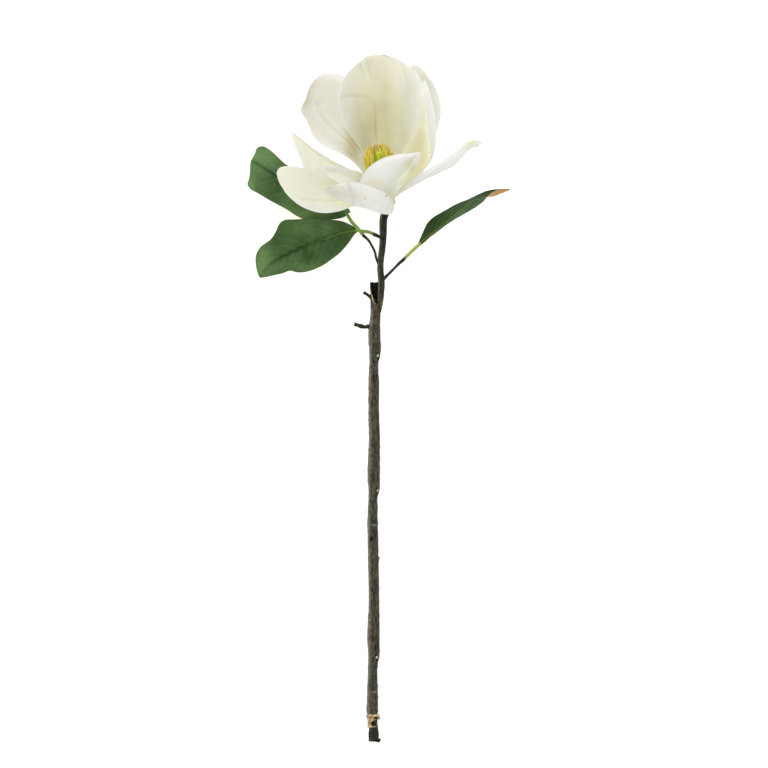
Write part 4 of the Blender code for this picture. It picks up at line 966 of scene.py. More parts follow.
def thicken(piece, thickness, share=1.0, slots_on=1):
    """Gives an open blade its thickness, down to a share of it where the vertex group body is zero.

    The second face takes the material that stands slots_on places after that of the first.
    """
    select_only(piece)
    shell = piece.modifiers.new("thickness", "SOLIDIFY")
    shell.thickness = thickness
    shell.offset = 0.0
    shell.material_offset = slots_on
    if "body" in piece.vertex_groups:
        shell.vertex_group = "body"
        shell.thickness_vertex_group = share
    bpy.ops.object.modifier_apply(modifier=shell.name)
    bpy.ops.object.shade_smooth()


def weigh(piece, weights):
    """Fills the vertex group body with a weight for each point of the grid."""
    group = piece.vertex_groups.new(name="body")
    for index, weight in enumerate(weights.ravel()):
        group.add([index], float(weight), "REPLACE")


def dress(piece, *materials):
    """Gives a piece its materials, in the order of its material slots."""
    for material in materials:
        piece.data.materials.append(material)


def place(piece, slot, *nodes):
    """Makes the piece ride with the flower and stand for its CAD nodes, which it hides. slot is not used."""
    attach(piece, "root")
    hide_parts(*nodes)


class Nodes:
    """Adds nodes to one material or node group, in rows below what it starts with."""

    def __init__(self, tree):
        self.tree = tree

    def add(self, kind, **values):
        """A new node of the kind, with its values set."""
        count = len(self.tree.nodes)
        node = self.tree.nodes.new(kind)
        row, column = divmod(count, NODES_A_ROW)
        node.location = (NODE_GAP * (column - NODES_A_ROW), -NODE_GAP * (row + 1))
        for key, value in values.items():
            setattr(node, key, value)
        return node

    def link(self, source, target):
        """Joins an output to an input."""
        self.tree.links.new(source, target)

    def feed(self, socket, value):
        """Gives a socket its value, which is another node's socket, a number, a vector or a colour."""
        if isinstance(value, bpy.types.NodeSocket):
            self.link(value, socket)
        elif socket.type == "RGBA" and len(value) == 3:
            socket.default_value = (*value, 1.0)
        else:
            socket.default_value = value

    def attribute(self, name):
        """The value of a named attribute of the mesh."""
        return self.add("ShaderNodeAttribute", attribute_name=name).outputs["Fac"]

    def mix(self, share, first, second, blend="MIX"):
        """A colour between two colours; each of the three is a socket, a number or a colour."""
        node = self.add("ShaderNodeMix", data_type="RGBA", blend_type=blend)
        for socket, value in ((node.inputs[0], share), (node.inputs[6], first), (node.inputs[7], second)):
            self.feed(socket, value)
        return node.outputs[2]

    def coat(self, colour, *coats):
        """The colour with coats over it: each is the attribute that says where, and the coat's colour."""
        for name, tint in coats:
            colour = self.mix(self.attribute(name), colour, tint)
        return colour

    def math(self, operation, first, second, clamp=False):
        """The result of a sum of two values."""
        node = self.add("ShaderNodeMath", operation=operation, use_clamp=clamp)
        self.feed(node.inputs[0], first)
        self.feed(node.inputs[1], second)
        return node.outputs[0]

    def span(self, value, low, high, at_low=0.0, at_high=1.0):
        """The value's place between low and high, as a value from at_low to at_high."""
        node = self.add("ShaderNodeMapRange")
        for socket, number in zip(node.inputs, (value, low, high, at_low, at_high)):
            self.feed(socket, number)
        return node.outputs[0]

    def effect(self, name, **values):
        """The output of a shared node group, placed here with its own values and built at its first use."""
        group = bpy.data.node_groups.get(name) or EFFECTS[name](name)
        node = self.add("ShaderNodeGroup", node_tree=group)
        for label, value in values.items():
            self.feed(node.inputs[label.replace("_", " ")], value)
        return node.outputs[0]


def new_group(name, output, kind, inputs):
    """A node group with named sockets, the tool that adds its nodes, its inputs and its output's socket."""
    tree = bpy.data.node_groups.new(name, "ShaderNodeTree")
    for label, socket_type, default in inputs:
        tree.interface.new_socket(label, in_out="INPUT", socket_type=socket_type).default_value = default
    tree.interface.new_socket(output, in_out="OUTPUT", socket_type=kind)
    nodes = Nodes(tree)
    given = nodes.add("NodeGroupInput").outputs
    return tree, nodes, given, nodes.add("NodeGroupOutput").inputs[output]


def noise_of(nodes, given):
    """Noise on the object's own coordinates, as a group's inputs ask for it."""
    mapping = nodes.add("ShaderNodeMapping")
    nodes.link(nodes.add("ShaderNodeTexCoord").outputs["Object"], mapping.inputs["Vector"])
    nodes.link(given["Stretch"], mapping.inputs["Scale"])
    texture = nodes.add("ShaderNodeTexNoise")
    nodes.link(mapping.outputs["Vector"], texture.inputs["Vector"])
    for label in ("Scale", "Detail", "Roughness"):
        nodes.link(given[label], texture.inputs[label])
    return texture.outputs["Fac"]


def patches_of(nodes, given):
    """Noise read between a group's two limits, as a value from At Low to At High."""
    limits = [given[label] for label, kind, default in LIMIT_INPUTS]
    return nodes.span(noise_of(nodes, given), *limits)


def build_patches(name):
    """Soft patches: a value that changes over the surface."""
    tree, nodes, given, result = new_group(name, "Value", "NodeSocketFloat", NOISE_INPUTS + LIMIT_INPUTS)
    nodes.link(patches_of(nodes, given), result)
    return tree


def build_uneven_tint(name):
    """Uneven tint: a colour that is darker and lighter in soft patches."""
    inputs = (("Colour", "NodeSocketColor", (1.0, 1.0, 1.0, 1.0)),) + NOISE_INPUTS + LIMIT_INPUTS
    tree, nodes, given, result = new_group(name, "Tinted", "NodeSocketColor", inputs)
    nodes.link(nodes.mix(1.0, given["Colour"], patches_of(nodes, given), "MULTIPLY"), result)
    return tree


def build_fine_relief(name):
    """Fine relief: noise as a bump, so high and so strong."""
    inputs = NOISE_INPUTS + (("Strength", "NodeSocketFloat", 0.6), ("Distance", "NodeSocketFloat", 0.0001))
    tree, nodes, given, result = new_group(name, "Normal", "NodeSocketVector", inputs)
    bump = nodes.add("ShaderNodeBump")
    for label in ("Strength", "Distance"):
        nodes.link(given[label], bump.inputs[label])
    nodes.link(noise_of(nodes, given), bump.inputs["Height"])
    nodes.link(bump.outputs["Normal"], result)
    return tree


EFFECTS = {"patches": build_patches, "uneven_tint": build_uneven_tint, "fine_relief": build_fine_relief}


def new_material(name, roughness, **values):
    """A Principled material and the tool that adds its nodes."""
    material = bpy.data.materials.new(name)
    material.use_nodes = True
    nodes = Nodes(material.node_tree)
    shader = material.node_tree.nodes["Principled BSDF"]
    shader.inputs["Roughness"].default_value = roughness
    for key, value in values.items():
        shader.inputs[key.replace("_", " ")].default_value = value
    return material, nodes, shader


def finish(nodes, shader, colour, **relief):
    """Gives a shader its colour and, from the shared fine relief, its normal."""
    nodes.link(colour, shader.inputs["Base Color"])
    nodes.link(nodes.effect("fine_relief", **relief), shader.inputs["Normal"])


def petal_finish(name, settings, warmth, roughness):
    """Waxy petal skin: white to cream, yellow green at the foot, faint mottle, small bruises and painted
    shade.
    """
    material, nodes, shader = new_material(
        name, roughness, Subsurface_Weight=0.65, Subsurface_Scale=0.005, Specular_IOR_Level=0.2)
    shader.inputs["Subsurface Radius"].default_value = PETAL_SCATTER
    # hollow and grey are painted shade: hollow deep in the cup, grey over shaded parts and in vein grooves
    colour = nodes.coat(settings.white, (warmth, settings.cream), ("foot", settings.foot),
                        ("hollow", settings.hollow))
    colour = nodes.mix(1.0, colour, nodes.span(nodes.attribute("grey"), 0.0, 1.0, 1.0, 0.6), "MULTIPLY")
    colour = nodes.effect("uneven_tint", Colour=colour, Scale=160.0, Detail=4.0, Low=0.35, High=0.7,
                          At_Low=0.965, At_High=1.0)
    # speck paints the dark shade of a small gap between two petals
    colour = nodes.coat(colour, ("bruise", settings.blemish), ("speck", GAP_SHADE))
    finish(nodes, shader, colour, Scale=2600.0, Detail=2.0, Distance=0.00003, Strength=0.5)
    return material


def leaf_top_finish(settings):
    """Leather of a leaf's upper face: dark green with paler patches and veins, and painted light on the right
    leaf's fold.
    """
    material, nodes, shader = new_material("leaf_upper_face", 0.55, Specular_IOR_Level=0.06)
    paler = nodes.effect("patches", Scale=70.0, Low=0.35, High=0.68, At_High=0.15)
    light = nodes.math("ADD", nodes.attribute("light"), paler, clamp=True)
    colour = nodes.mix(light, settings.dark, settings.light)
    colour = nodes.mix(nodes.math("MULTIPLY", nodes.attribute("vein"), 0.24), colour, settings.light)
    # pale_rib_and_highlight is the pale midrib, and on the right leaf a painted highlight along its crease
    colour = nodes.coat(colour, ("dark_rib", DARK_RIB), ("pale_rib_and_highlight", settings.midrib),
                        ("rusty", settings.rust), ("spot", LEAF_SPOT))
    colour = nodes.effect("uneven_tint", Colour=colour, Scale=700.0, Detail=4.0, Low=0.32, High=0.68,
                          At_Low=0.8, At_High=1.12)
    gloss = nodes.effect("patches", Scale=420.0, Detail=2.0, At_Low=0.48, At_High=0.62)
    nodes.link(gloss, shader.inputs["Roughness"])
    finish(nodes, shader, colour, Scale=1500.0, Distance=0.00008)
    return material


def leaf_back_finish(settings):
    """Rust coloured felt of a leaf's underside."""
    material, nodes, shader = new_material("leaf_underside", 0.9, Sheen_Weight=0.1, Sheen_Roughness=0.5)
    colour = nodes.effect("uneven_tint", Colour=settings.rust, Scale=1400.0, Detail=4.0, Roughness=0.7,
                          At_Low=0.82, At_High=1.08)
    colour = nodes.mix(nodes.math("MULTIPLY", nodes.attribute("vein"), 0.35), colour, FELT_VEIN)
    finish(nodes, shader, colour, Scale=2400.0, Roughness=0.7, Distance=0.00015, Strength=0.8)
    return material


def stalk_finish(name, colour):
    """Smooth green skin of a leaf stalk, with faint streaks."""
    material, nodes, shader = new_material(name, 0.45)
    tint = nodes.effect("uneven_tint", Colour=colour, Scale=500.0, At_Low=0.85, At_High=1.1)
    tint = nodes.coat(tint, ("brown", STALK_BROWN))
    finish(nodes, shader, tint, Scale=900.0, Strength=0.5)
    return material


def bark_finish(settings):
    """Rough bark: dark furrows partly of painted shade, grey brown ridges, grey rings and flakes, a painted
    highlight down the left side and fresh pale scars.
    """
    material, nodes, shader = new_material("bark", 0.75, Specular_IOR_Level=0.08)
    grain = nodes.effect("patches", Scale=260.0, Detail=6.0, Roughness=0.62, Stretch=(1.0, 0.28, 1.0),
                         High=0.72, At_High=0.5)
    height = nodes.math("ADD", nodes.math("MULTIPLY", nodes.attribute("ridge"), 0.6), grain, clamp=True)
    warm = nodes.effect("patches", Scale=45.0, Stretch=(1.0, 0.35, 1.0), Low=0.42, High=0.62)
    warm = nodes.math("MULTIPLY", warm, nodes.attribute("warm"))
    skin = nodes.mix(warm, settings.ridge, settings.brown)
    # darker where the relief is low: partly the bark's own colour, partly painted shade in the furrows
    colour = nodes.mix(height, settings.furrow, skin)
    # film_and_highlight is also a painted highlight down the left side, and dark holds painted shadow in the
    # scars' pits
    colour = nodes.coat(colour, ("film_and_highlight", settings.bloom), ("moss", settings.moss), ("dark", DARK_BARK),
                        ("tan", settings.tan), ("scar", settings.scar))
    colour = nodes.effect("uneven_tint", Colour=colour, Scale=650.0, Detail=5.0, Roughness=0.65,
                          Stretch=(1.0, 0.4, 1.0), Low=0.36, High=0.64, At_Low=0.52, At_High=1.34)
    nodes.link(nodes.span(height, 0.0, 1.0, 0.85, 0.6), shader.inputs["Roughness"])
    finish(nodes, shader, colour, Scale=800.0, Detail=5.0, Roughness=0.65, Stretch=(1.0, 0.4, 1.0),
           Distance=0.0003, Strength=0.7)
    return material


def sleeve_shade_finish():
    """Nearly black painted shade on the inner face of the torn bark sleeve."""
    material, nodes, shader = new_material("sleeve_painted_shade", 0.85, Specular_IOR_Level=0.1)
    pale = nodes.effect("patches", Scale=500.0, Detail=4.0, Low=0.48, High=0.72)
    finish(nodes, shader, nodes.mix(pale, *SLEEVE_SHADE), Scale=800.0, Distance=0.0003)
    return material


def inner_bark_finish(settings):
    """Pale fibrous scrap of inner bark, with pink and lilac marks, cream marks that are painted highlights
    and dark marks that are painted shade in its creases.
    """
    material, nodes, shader = new_material("inner_bark", 0.8)
    fibre = (0.4, 1.0, 0.4)
    streak = nodes.effect("patches", Scale=700.0, Detail=5.0, Stretch=fibre)
    colour = nodes.coat(nodes.mix(streak, FIBRE_BROWN, settings.tan), *BAND_MARKS)
    finish(nodes, shader, colour, Scale=1300.0, Detail=4.0, Stretch=fibre, Distance=0.0002, Strength=0.8)
    return material


def receptacle_finish(settings):
    """Green skin of the flower's seat, cream where the petals hide it."""
    material, nodes, shader = new_material("receptacle_skin", 0.55)
    skin = nodes.coat(settings.seat, ("pale", SEAT_CREAM))
    skin = nodes.effect("uneven_tint", Colour=skin, Scale=300.0, Detail=4.0, Low=0.35, High=0.65, At_Low=0.8,
                        At_High=1.1)
    finish(nodes, shader, skin, Scale=1200.0)
    return material


def strand_finish(name, low, high, tip, roughness):
    """Skin of the stamens and styles: one colour at the foot, another further up and a third at the tip."""
    material, nodes, shader = new_material(name, roughness, Subsurface_Weight=0.2, Subsurface_Scale=0.001)
    rise = nodes.attribute("rise")
    colour = nodes.mix(nodes.span(rise, 0.2, 0.75), low, high)
    end = nodes.math("MULTIPLY", nodes.span(rise, 0.72, 1.0), nodes.attribute("ripe"), clamp=True)
    colour = nodes.mix(end, colour, tip)
    colour = nodes.effect("uneven_tint", Colour=colour, Scale=900.0, Detail=2.0, At_Low=0.85, At_High=1.08)
    finish(nodes, shader, colour, Scale=3000.0, Detail=2.0, Distance=0.00004)
    return material


def rails_of(petal):
    """A petal's rails from foot to tip, and their places across it, from -1 at the left margin to 1."""
    feet = claw(petal["azimuth"], petal["whorl"])
    tip = plan(*petal["tip"])
    rails = [rail_from(foot, petal[side], tip) for foot, side in zip(feet, ("left", "middle", "right"))]
    places = [-1.0, 0.0, 1.0]
    if "fold" in petal:
        share, points = petal["fold"]
        start = feet[1] + (feet[0] - feet[1]) * -share
        rails.insert(1, rail_from(start, points, tip))
        places.insert(1, share)
    return rails, places


def make_petal(name, petal, look, settings, materials, seed):
    """One petal: a swaying, veined and creased blade with its colour values."""
    end = ROUND_TIP if petal["arch"] > BLUNT_ARCH else FINE_TIP
    rails, places = rails_of(petal)
    grid = relaxed(loft(rails, places, petal["arch"], end, PETAL_ROWS, PETAL_COLUMNS), EVEN_FROM,
                   EVEN_ROUNDS)
    along, across = shares_of(grid)
    out = face_normals(grid)
    where = shown_at(grid)
    # soft sway of the whole blade and a finer one at the margins
    free = ramp(along, SWAY_FROM, SWAY_GROWTH)
    sway = cloudy(grid, FACE_SWAY, seed) * SWAY_SHARE
    sway = sway + cloudy(grid, MARGIN_SWAY, seed + 5.0) * np.abs(across) ** 3 * SWAY_SHARE
    lift = sway * free * settings.sway / MM
    on_face = np.broadcast_arrays(across * VEINS_ACROSS, along * VEINS_ALONG, np.zeros_like(along))
    veins = cloudy(np.stack(on_face, -1), 1.0, seed)
    lift = lift + veins * settings.vein_height / MM * free * VEIN_LIFT
    for line, height, width in look.get("creases", ()):
        lift = lift + height * soft(distance_to(where, line), width)
    # the relief fades where the blade narrows, so that it doesn't pile up in the tip
    spread = np.linalg.norm(np.diff(grid, axis=1), axis=2).sum(axis=1)[:, None]
    lift = lift * np.clip(spread / CALM_WIDTH, 0, 1) ** 1.5 * ramp(1 - along, 0.0, TIP_FADE)
    grid = grid + out * lift[..., None]
    thickness = settings.thickness
    grid[..., 2] = np.maximum(grid[..., 2], thickness / MM / 2)

    margin = ramp(np.abs(across), MARGIN_FROM, MARGIN_WIDTH)
    foot = np.clip(1 - along / FOOT_REACH, 0, 1) ** 1.3
    size, strength = UNEVEN_WARMTH
    uneven = strength * cloudy(grid, size, seed) - WHITER_MARGIN * margin
    warmth = {}
    for key in ("warmth", "outer_warmth"):
        at_foot, at_tip = look[key]
        warmth[key] = np.clip(at_foot + (at_tip - at_foot) * along ** 0.8 + uneven, 0, 1)
    patches = look["patches"]
    # yellow patches spread the foot's colour, and most of them paint yellow green shade and glow where petals
    # meet
    foot = np.clip(foot + patch(where, patches, "yellow"), 0, 1)
    bruise = np.clip(patch(where, patches, "bruise"), 0, 1)
    # painted shade of a small gap between petals
    speck = np.clip(patch(where, patches, "speck"), 0, 1)
    size, strength = UNEVEN_PATCHES
    uneven = 1 + strength * cloudy(grid, size, seed + 3.0)
    # painted shade: hollow deep in the cup, grey over shaded parts and, a little, in the grooves between
    # veins
    hollow = np.clip(patch(where, patches, "hollow") * uneven, 0, 1)
    grey = look["grey"] + patch(where, patches, "grey") * uneven + VEIN_GREY * np.clip(-veins, 0, 1)
    piece = new_grid(name.replace("petal_", "") + "_tepal", grid, foot=foot, bruise=bruise, speck=speck,
                     hollow=hollow, grey=np.clip(grey, 0, 1), **warmth)
    weigh(piece, ramp(1 - np.abs(across), 0.0, THIN_MARGIN) * ramp(1 - along, 0.0, THIN_TIP))
    dress(piece, *materials)
    thicken(piece, thickness, settings.margin)
    place(piece, "petal", name)


class MAGNOLIA_OT_petals(bpy.types.Operator):
    """Ten petals, each a thin swaying blade with fine veins"""
    bl_idname = "magnolia.petals"
    bl_label = "Petals"

    def execute(self, context):
        settings = context.scene.magnolia_petals
        materials = [petal_finish("petal_inner_face", settings, "warmth", 0.55),
                     petal_finish("petal_outer_face", settings, "outer_warmth", 0.5)]
        for number, (name, petal) in enumerate(PETALS.items()):
            make_petal(name, petal, PETAL_LOOKS[name], settings, materials, 11.0 * (number + 1))
        return {"FINISHED"}


class MAGNOLIA_OT_receptacle(bpy.types.Operator):
    """Swollen end of the stalk that the petals, stamens and carpels grow from"""
    bl_idname = "magnolia.receptacle"
    bl_label = "Receptacle"

    def execute(self, context):
        settings = context.scene.magnolia_heart
        top = UPPER_STEM[-1][3]
        whorls = (LOWEST_WHORL, LEFT_WHORL, LOW_WHORL, MIDDLE_WHORL, INNER_WHORL)
        # it swells above the stalk, carries the petals' feet and narrows to the column of the stamens
        corners = [(top, RECEPTACLE_FOOT), (top + 2.0, RECEPTACLE_FOOT + 3.0)]
        corners += [(radius - SEAT_INSET, height) for height, radius, _ in whorls]
        corners += [(COLUMN_RADIUS + 1.4, INNER_WHORL[0] + 5.0), (COLUMN_RADIUS, RING_HEIGHTS[0] - 0.3),
                    (COLUMN_RADIUS, COLUMN_TOP)]
        grid = turned(capped(corners, 60, RECEPTACLE_FOOT, COLUMN_TOP), SEAT_SIDES)
        grid += face_normals(grid) * cloudy(grid, 2.5)[..., None] * 0.15
        meet(grid)
        height = (grid - on_axis(0)) @ AXIS
        piece = new_grid("flower_seat", grid, pale=ramp(height, -5.0, 4.0))
        weld(piece)
        dress(piece, receptacle_finish(settings))
        place(piece, "receptacle", "receptacle")
        return {"FINISHED"}


def strand(template, name, points, radii, **notes):
    """A slim closed strand along the points, copied from the template grid."""
    piece = template.copy()
    piece.data = template.data.copy()
    piece.name = name
    bpy.context.collection.objects.link(piece)
    grid = rolled(points, radii, STAMEN_SIDES)
    row, column = lay(piece, grid)
    for key, values in notes.items():
        ends = np.concatenate([[values[0]], values, [values[-1]]])
        note(piece, key, np.repeat(ends[:, None], STAMEN_SIDES + 1, axis=1), row, column)
    return piece


class MAGNOLIA_OT_stamens(bpy.types.Operator):
    """Brush of slim stamens round the carpels, on the ring that they grow from"""
    bl_idname = "magnolia.stamens"
    bl_label = "Stamens"

    def execute(self, context):
        settings = context.scene.magnolia_heart
        rng = random.Random(SEED)
        low, high = RING_HEIGHTS
        inner = COLUMN_RADIUS + 0.2
        profile = [(inner, low), (RING_RADIUS, low), (RING_RADIUS + 0.3, (low + high) / 2),
                   (RING_RADIUS, high), (inner, high), (inner, low)]
        ring = turned(profile, HEART_SIDES)
        zero = np.zeros(ring.shape[:2])
        pieces = [new_grid("stamen_ring", ring, rise=zero, ripe=zero)]
        template = flat_grid("strand_template", STAMEN_STEPS + 1, STAMEN_SIDES)
        count = settings.stamen_count
        radius = settings.stamen_radius / MM
        shares = np.linspace(0, 1, STAMEN_STEPS)
        for i in range(count):
            q = (i + 0.5) / count
            azimuth = i * GOLDEN_ANGLE + rng.uniform(*TURN_SPREAD)
            root = low + RING_INSET + (high - low - 2 * RING_INSET) * q
            top = BRUSH_LOW_TOP + (BRUSH_TOP - BRUSH_LOW_TOP) * q ** 0.9 + rng.uniform(*TOP_SPREAD)
            widest = BRUSH_RADIUS * (1.0 - BRUSH_NARROWING * q) + rng.uniform(*WIDEST_SPREAD)
            tip = BRUSH_RADIUS * math.sqrt(1.0 - BRUSH_DOME * q ** 2.0) + rng.uniform(*TIP_SPREAD)
            front = math.exp(-((azimuth % 360 - FRONT_AZIMUTH) / FRONT_WIDTH) ** 2)
            if front > FRONT_SHORT and i % 2:
                top = min(top, root + FRONT_LENGTH)
            sway = rng.uniform(*STAMEN_SWAY)
            # height, radius and share of the sway: out of the ring, up the widest part and in to the tip
            spots = ((root, RING_RADIUS - RING_INSET, 0.0), (root + 2.5, RING_RADIUS + 1.2, 0.1),
                     (root + (top - root) * 0.45, widest - 0.6, 0.4),
                     (root + (top - root) * 0.75, widest, 0.7), (top, tip, 1.0))
            points = [on_axis(h) + outward(azimuth + sway * share) * r - RIGHT * (BRUSH_LEAN * share)
                      for h, r, share in spots]
            route = smooth_curve(points, shares)
            thick = radius * np.interp(shares, *STAMEN_TAPER)
            ripe = np.full(STAMEN_STEPS, rng.uniform(*RIPE_SPREAD) * (1.0 - FRONT_UNRIPE * front))
            rise = np.clip(shares - FRONT_LIME * front, 0, 1)
            pieces.append(strand(template, f"stamen_{i}", route, thick, rise=rise, ripe=ripe))
        bpy.data.objects.remove(template)
        piece = join(pieces, "stamen_brush")
        weld(piece)
        dress(piece, strand_finish("stamen_skin", settings.lime, settings.yellow, settings.orange, 0.55))
        place(piece, "stamen", "stamens")
        return {"FINISHED"}


class MAGNOLIA_OT_carpels(bpy.types.Operator):
    """Lime green cone of carpels with its curled styles"""
    bl_idname = "magnolia.carpels"
    bl_label = "Carpels"

    def execute(self, context):
        settings = context.scene.magnolia_heart
        foot = COLUMN_TOP + 0.2
        base, top = CARPEL_BASE_RADIUS, CARPEL_TOP
        corners = [(base * 0.8, foot), (base, foot + 4.0), (base * 0.7, foot + 13.0),
                   (base * 0.35, top - 0.8)]
        grid = turned(capped(corners, 40, foot, top), HEART_SIDES)
        # each carpel stands out of the cone as a small scale
        along = np.linspace(0, 1, grid.shape[0])[:, None]
        around = np.linspace(0, 1, grid.shape[1])[None, :]
        scales = np.sin(np.pi * (8 * along + 5 * around)) * np.sin(np.pi * (8 * along - 8 * around))
        grid += face_normals(grid) * (CARPEL_SCALE * np.abs(scales) * np.sin(np.pi * along))[..., None]
        meet(grid)
        rise = np.broadcast_to(along * 0.5, grid.shape[:2])
        pieces = [new_grid("carpel_cone", grid, rise=rise, ripe=np.full(grid.shape[:2], 0.2))]
        template = flat_grid("style_template", STAMEN_STEPS + 1, STAMEN_SIDES)
        shares = np.linspace(0, 1, STAMEN_STEPS)
        rng = random.Random(SEED + 1)
        for i in range(settings.style_count):
            q = (i + 0.5) / settings.style_count
            height = foot + 4.5 + (top - foot - 5.5) * q
            wall = base * (1.0 - CONE_TAPER * q)
            azimuth = i * GOLDEN_ANGLE
            curl = rng.uniform(*CURL_SPREAD)
            # up and out of the cone, and back in at the curled tip
            steps = ((0.0, -1.0), (1.2, 0.6), (2.6, 1.2 * curl), (3.8, 1.5 * curl), (4.6, 0.9 * curl))
            points = [on_axis(height + h) + outward(azimuth) * (wall + r) for h, r in steps]
            route = smooth_curve(points, shares)
            thick = np.interp(shares, *STYLE_TAPER)
            pieces.append(strand(template, f"style_{i}", route, thick, rise=0.3 + shares * 0.7,
                                 ripe=np.full(STAMEN_STEPS, 0.25)))
        bpy.data.objects.remove(template)
        piece = join(pieces, "carpel_head")
        weld(piece)
        dress(piece, strand_finish("carpel_skin", settings.lime, STYLE_GREEN, STYLE_TIP, 0.5))
        place(piece, "carpel", "carpels")
        return {"FINISHED"}


def make_stalk(name, points, middle, out, rib_end, seed):
    """A leaf's stalk, which goes on under the middle of its blade as the midrib, up to the share rib_end.

    points is the stalk's line on the plan, middle the line along the blade, and out the way out of its face.
    """
    stalk = smooth_curve([plan(*point) for point in points][::-1], np.linspace(0, 1, 24))
    steps = slice(3, int(LEAF_ROWS * rib_end), 3)
    rib_radii = np.linspace(STALK_RADIUS * 0.8, 0.4, len(middle[steps]))
    under = middle[steps] - out[steps] * (rib_radii - 0.05)[:, None]
    under[:, 2] = np.maximum(under[:, 2], rib_radii)
    route = np.concatenate([stalk[:-1], under])
    radii = np.concatenate([np.full(len(stalk) - 1, STALK_RADIUS), rib_radii])
    route = smooth_curve(np.column_stack([route, radii]), np.linspace(0, 1, STALK_ROWS))
    tube = rolled(route[:, :3], route[:, 3], STALK_SIDES)
    tube += face_normals(tube) * (cloudy(tube, 3.0, seed) * 0.10)[..., None]
    meet(tube)
    # brown where it leaves the twig
    share = np.linspace(0, 1, tube.shape[0])[:, None]
    brown = np.clip(np.clip(1 - share / 0.05, 0, 1) + 0.2 * cloudy(tube, 3.0), 0, 1)
    rod = new_grid(name + "_rib", tube, brown=brown)
    weld(rod)
    return rod


def make_leaf(name, leaf, look, settings, materials, seed):
    """One leaf: a veined blade, and its stalk that goes on under it as the midrib."""
    start, tip = plan(*leaf["start"]), plan(*leaf["tip"])
    ahead = plan(*leaf["middle"][0]) - start
    side = unit(np.cross(ahead, [0.0, 0.0, 1.0])) * STALK_RADIUS
    rails = [rail_from(start + side * place, leaf[key], tip)
             for place, key in ((-1, "left"), (0, "middle"), (1, "right"))]
    grid = loft(rails, [-1.0, 0.0, 1.0], LEAF_ARCH, LEAF_END, LEAF_ROWS, LEAF_COLUMNS)
    grid = waved(creased(grid, leaf["fold"]), *leaf["wave"])
    along, across = shares_of(grid)
    out = face_normals(grid)
    where = shown_at(grid)
    # the veins of the two halves take turns, and gap is the way to the nearest of them
    phase = settings.vein_count * (along - VEIN_LEAN * np.abs(across) ** 1.3) + np.where(across < 0, 0.0, 0.5)
    gap = phase - np.rint(phase)
    vein = soft(gap, VEIN_WIDTH) * np.clip(1.1 - np.abs(across), 0, 1) ** 0.6
    middle = grid[:, LEAF_COLUMNS // 2]
    from_rib = np.linalg.norm(grid - middle[:, None, :], axis=-1)
    rib = soft(from_rib, RIB_WIDTH) * np.clip(1.05 - along, 0, 1)
    depth = settings.vein_depth / MM
    lift = depth * (np.abs(gap) * 2) ** 1.5 - depth * vein - RIB_DEPTH * rib
    for size, height in LEAF_LUMPS:
        lift = lift + cloudy(grid, size, seed) * height
    lift = lift * ramp(along, 0.0, LEAF_FOOT)
    grid = grid + out * lift[..., None]
    half = settings.thickness / MM / 2
    grid[..., 2] = np.maximum(grid[..., 2], half)
    patches = look["patches"]
    size, strength = LEAF_MOTTLE
    # side_light paints the right half of a folded leaf paler, as painted light
    light = look["light"] + look["side_light"] * across + strength * cloudy(grid, size, seed)
    width, strength = RIB_SHADE
    light = light + patch(where, patches, "light") - strength * soft(from_rib, width)
    ribs = {}
    # the pale rib of the right leaf is a painted highlight along its crease
    for key, width, strength in RIB_LINES:
        first, last = look[key]
        reach = ramp(along, first, 0.04) * ramp(last - along, 0.0, 0.3)
        ribs[key] = soft(from_rib, width) * reach * strength
    rusty = patch(where, patches, "rusty") * ramp(np.abs(across), 0.9, 0.05)
    spot = np.zeros(grid.shape[:2])
    for centre, size in look.get("spots", ()):
        line = [centre, (centre[0] + 0.4, centre[1] + 0.3)]
        spot = np.maximum(spot, soft(distance_to(where, line), size))
    blade = new_grid(name + "_blade", grid, vein=vein, light=np.clip(light, 0, 1), spot=spot,
                     rusty=np.clip(rusty, 0, 1), **ribs)
    weigh(blade, ramp(1 - np.abs(across), 0.0, LEAF_THIN_MARGIN) * np.ones_like(along))
    dress(blade, *materials)
    thicken(blade, settings.thickness, LEAF_MARGIN)

    rod = make_stalk(name, leaf["stalk"], grid[:, LEAF_COLUMNS // 2], out[:, LEAF_COLUMNS // 2],
                     look["rib_end"], seed)
    dress(rod, materials[-1])
    piece = join([blade, rod], name + "_blade")
    place(piece, "leaf", name)


class MAGNOLIA_OT_leaves(bpy.types.Operator):
    """Three leathery leaves, rust coloured underneath, on green stalks"""
    bl_idname = "magnolia.leaves"
    bl_label = "Leaves"

    def execute(self, context):
        settings = context.scene.magnolia_leaves
        faces = [leaf_top_finish(settings), leaf_back_finish(settings)]
        stalks = {"green": stalk_finish("leaf_stalk", settings.stalk),
                  "young": stalk_finish("young_leaf_stalk", settings.young_stalk)}
        for number, (name, leaf) in enumerate(LEAVES.items()):
            look = LEAF_LOOKS[name]
            make_leaf(name, leaf, look, settings, faces + [stalks[look["stalk"]]], 5.0 * number)
        return {"FINISHED"}


def bark_relief(grid, settings, seed):
    """Lifts a rolled grid into lengthwise bark ridges, and gives the grid and the height of the ridges."""
    out = face_normals(grid)
    where = grid * BARK_STRETCH
    ridge = cloudy(where, RIDGE_SIZE, seed) * 0.6 + cloudy(where, FINE_RIDGE_SIZE, seed + 9.0) * 0.4
    lumps = cloudy(grid, LUMP_SIZE, seed + 2.0)
    height = settings.ridge_height / MM
    grid = grid + out * (ridge * height + lumps * LUMP_HEIGHT)[..., None]
    return grid, np.clip(0.5 + 1.7 * ridge, 0, 1)


def close_grid(grid):
    """Makes the seam of a bark grid meet, and each of its ends a single point in the middle of its ring."""
    grid[:, -1] = grid[:, 0]
    grid[0] = grid[0].mean(axis=0)
    grid[-1] = grid[-1].mean(axis=0)
    return grid


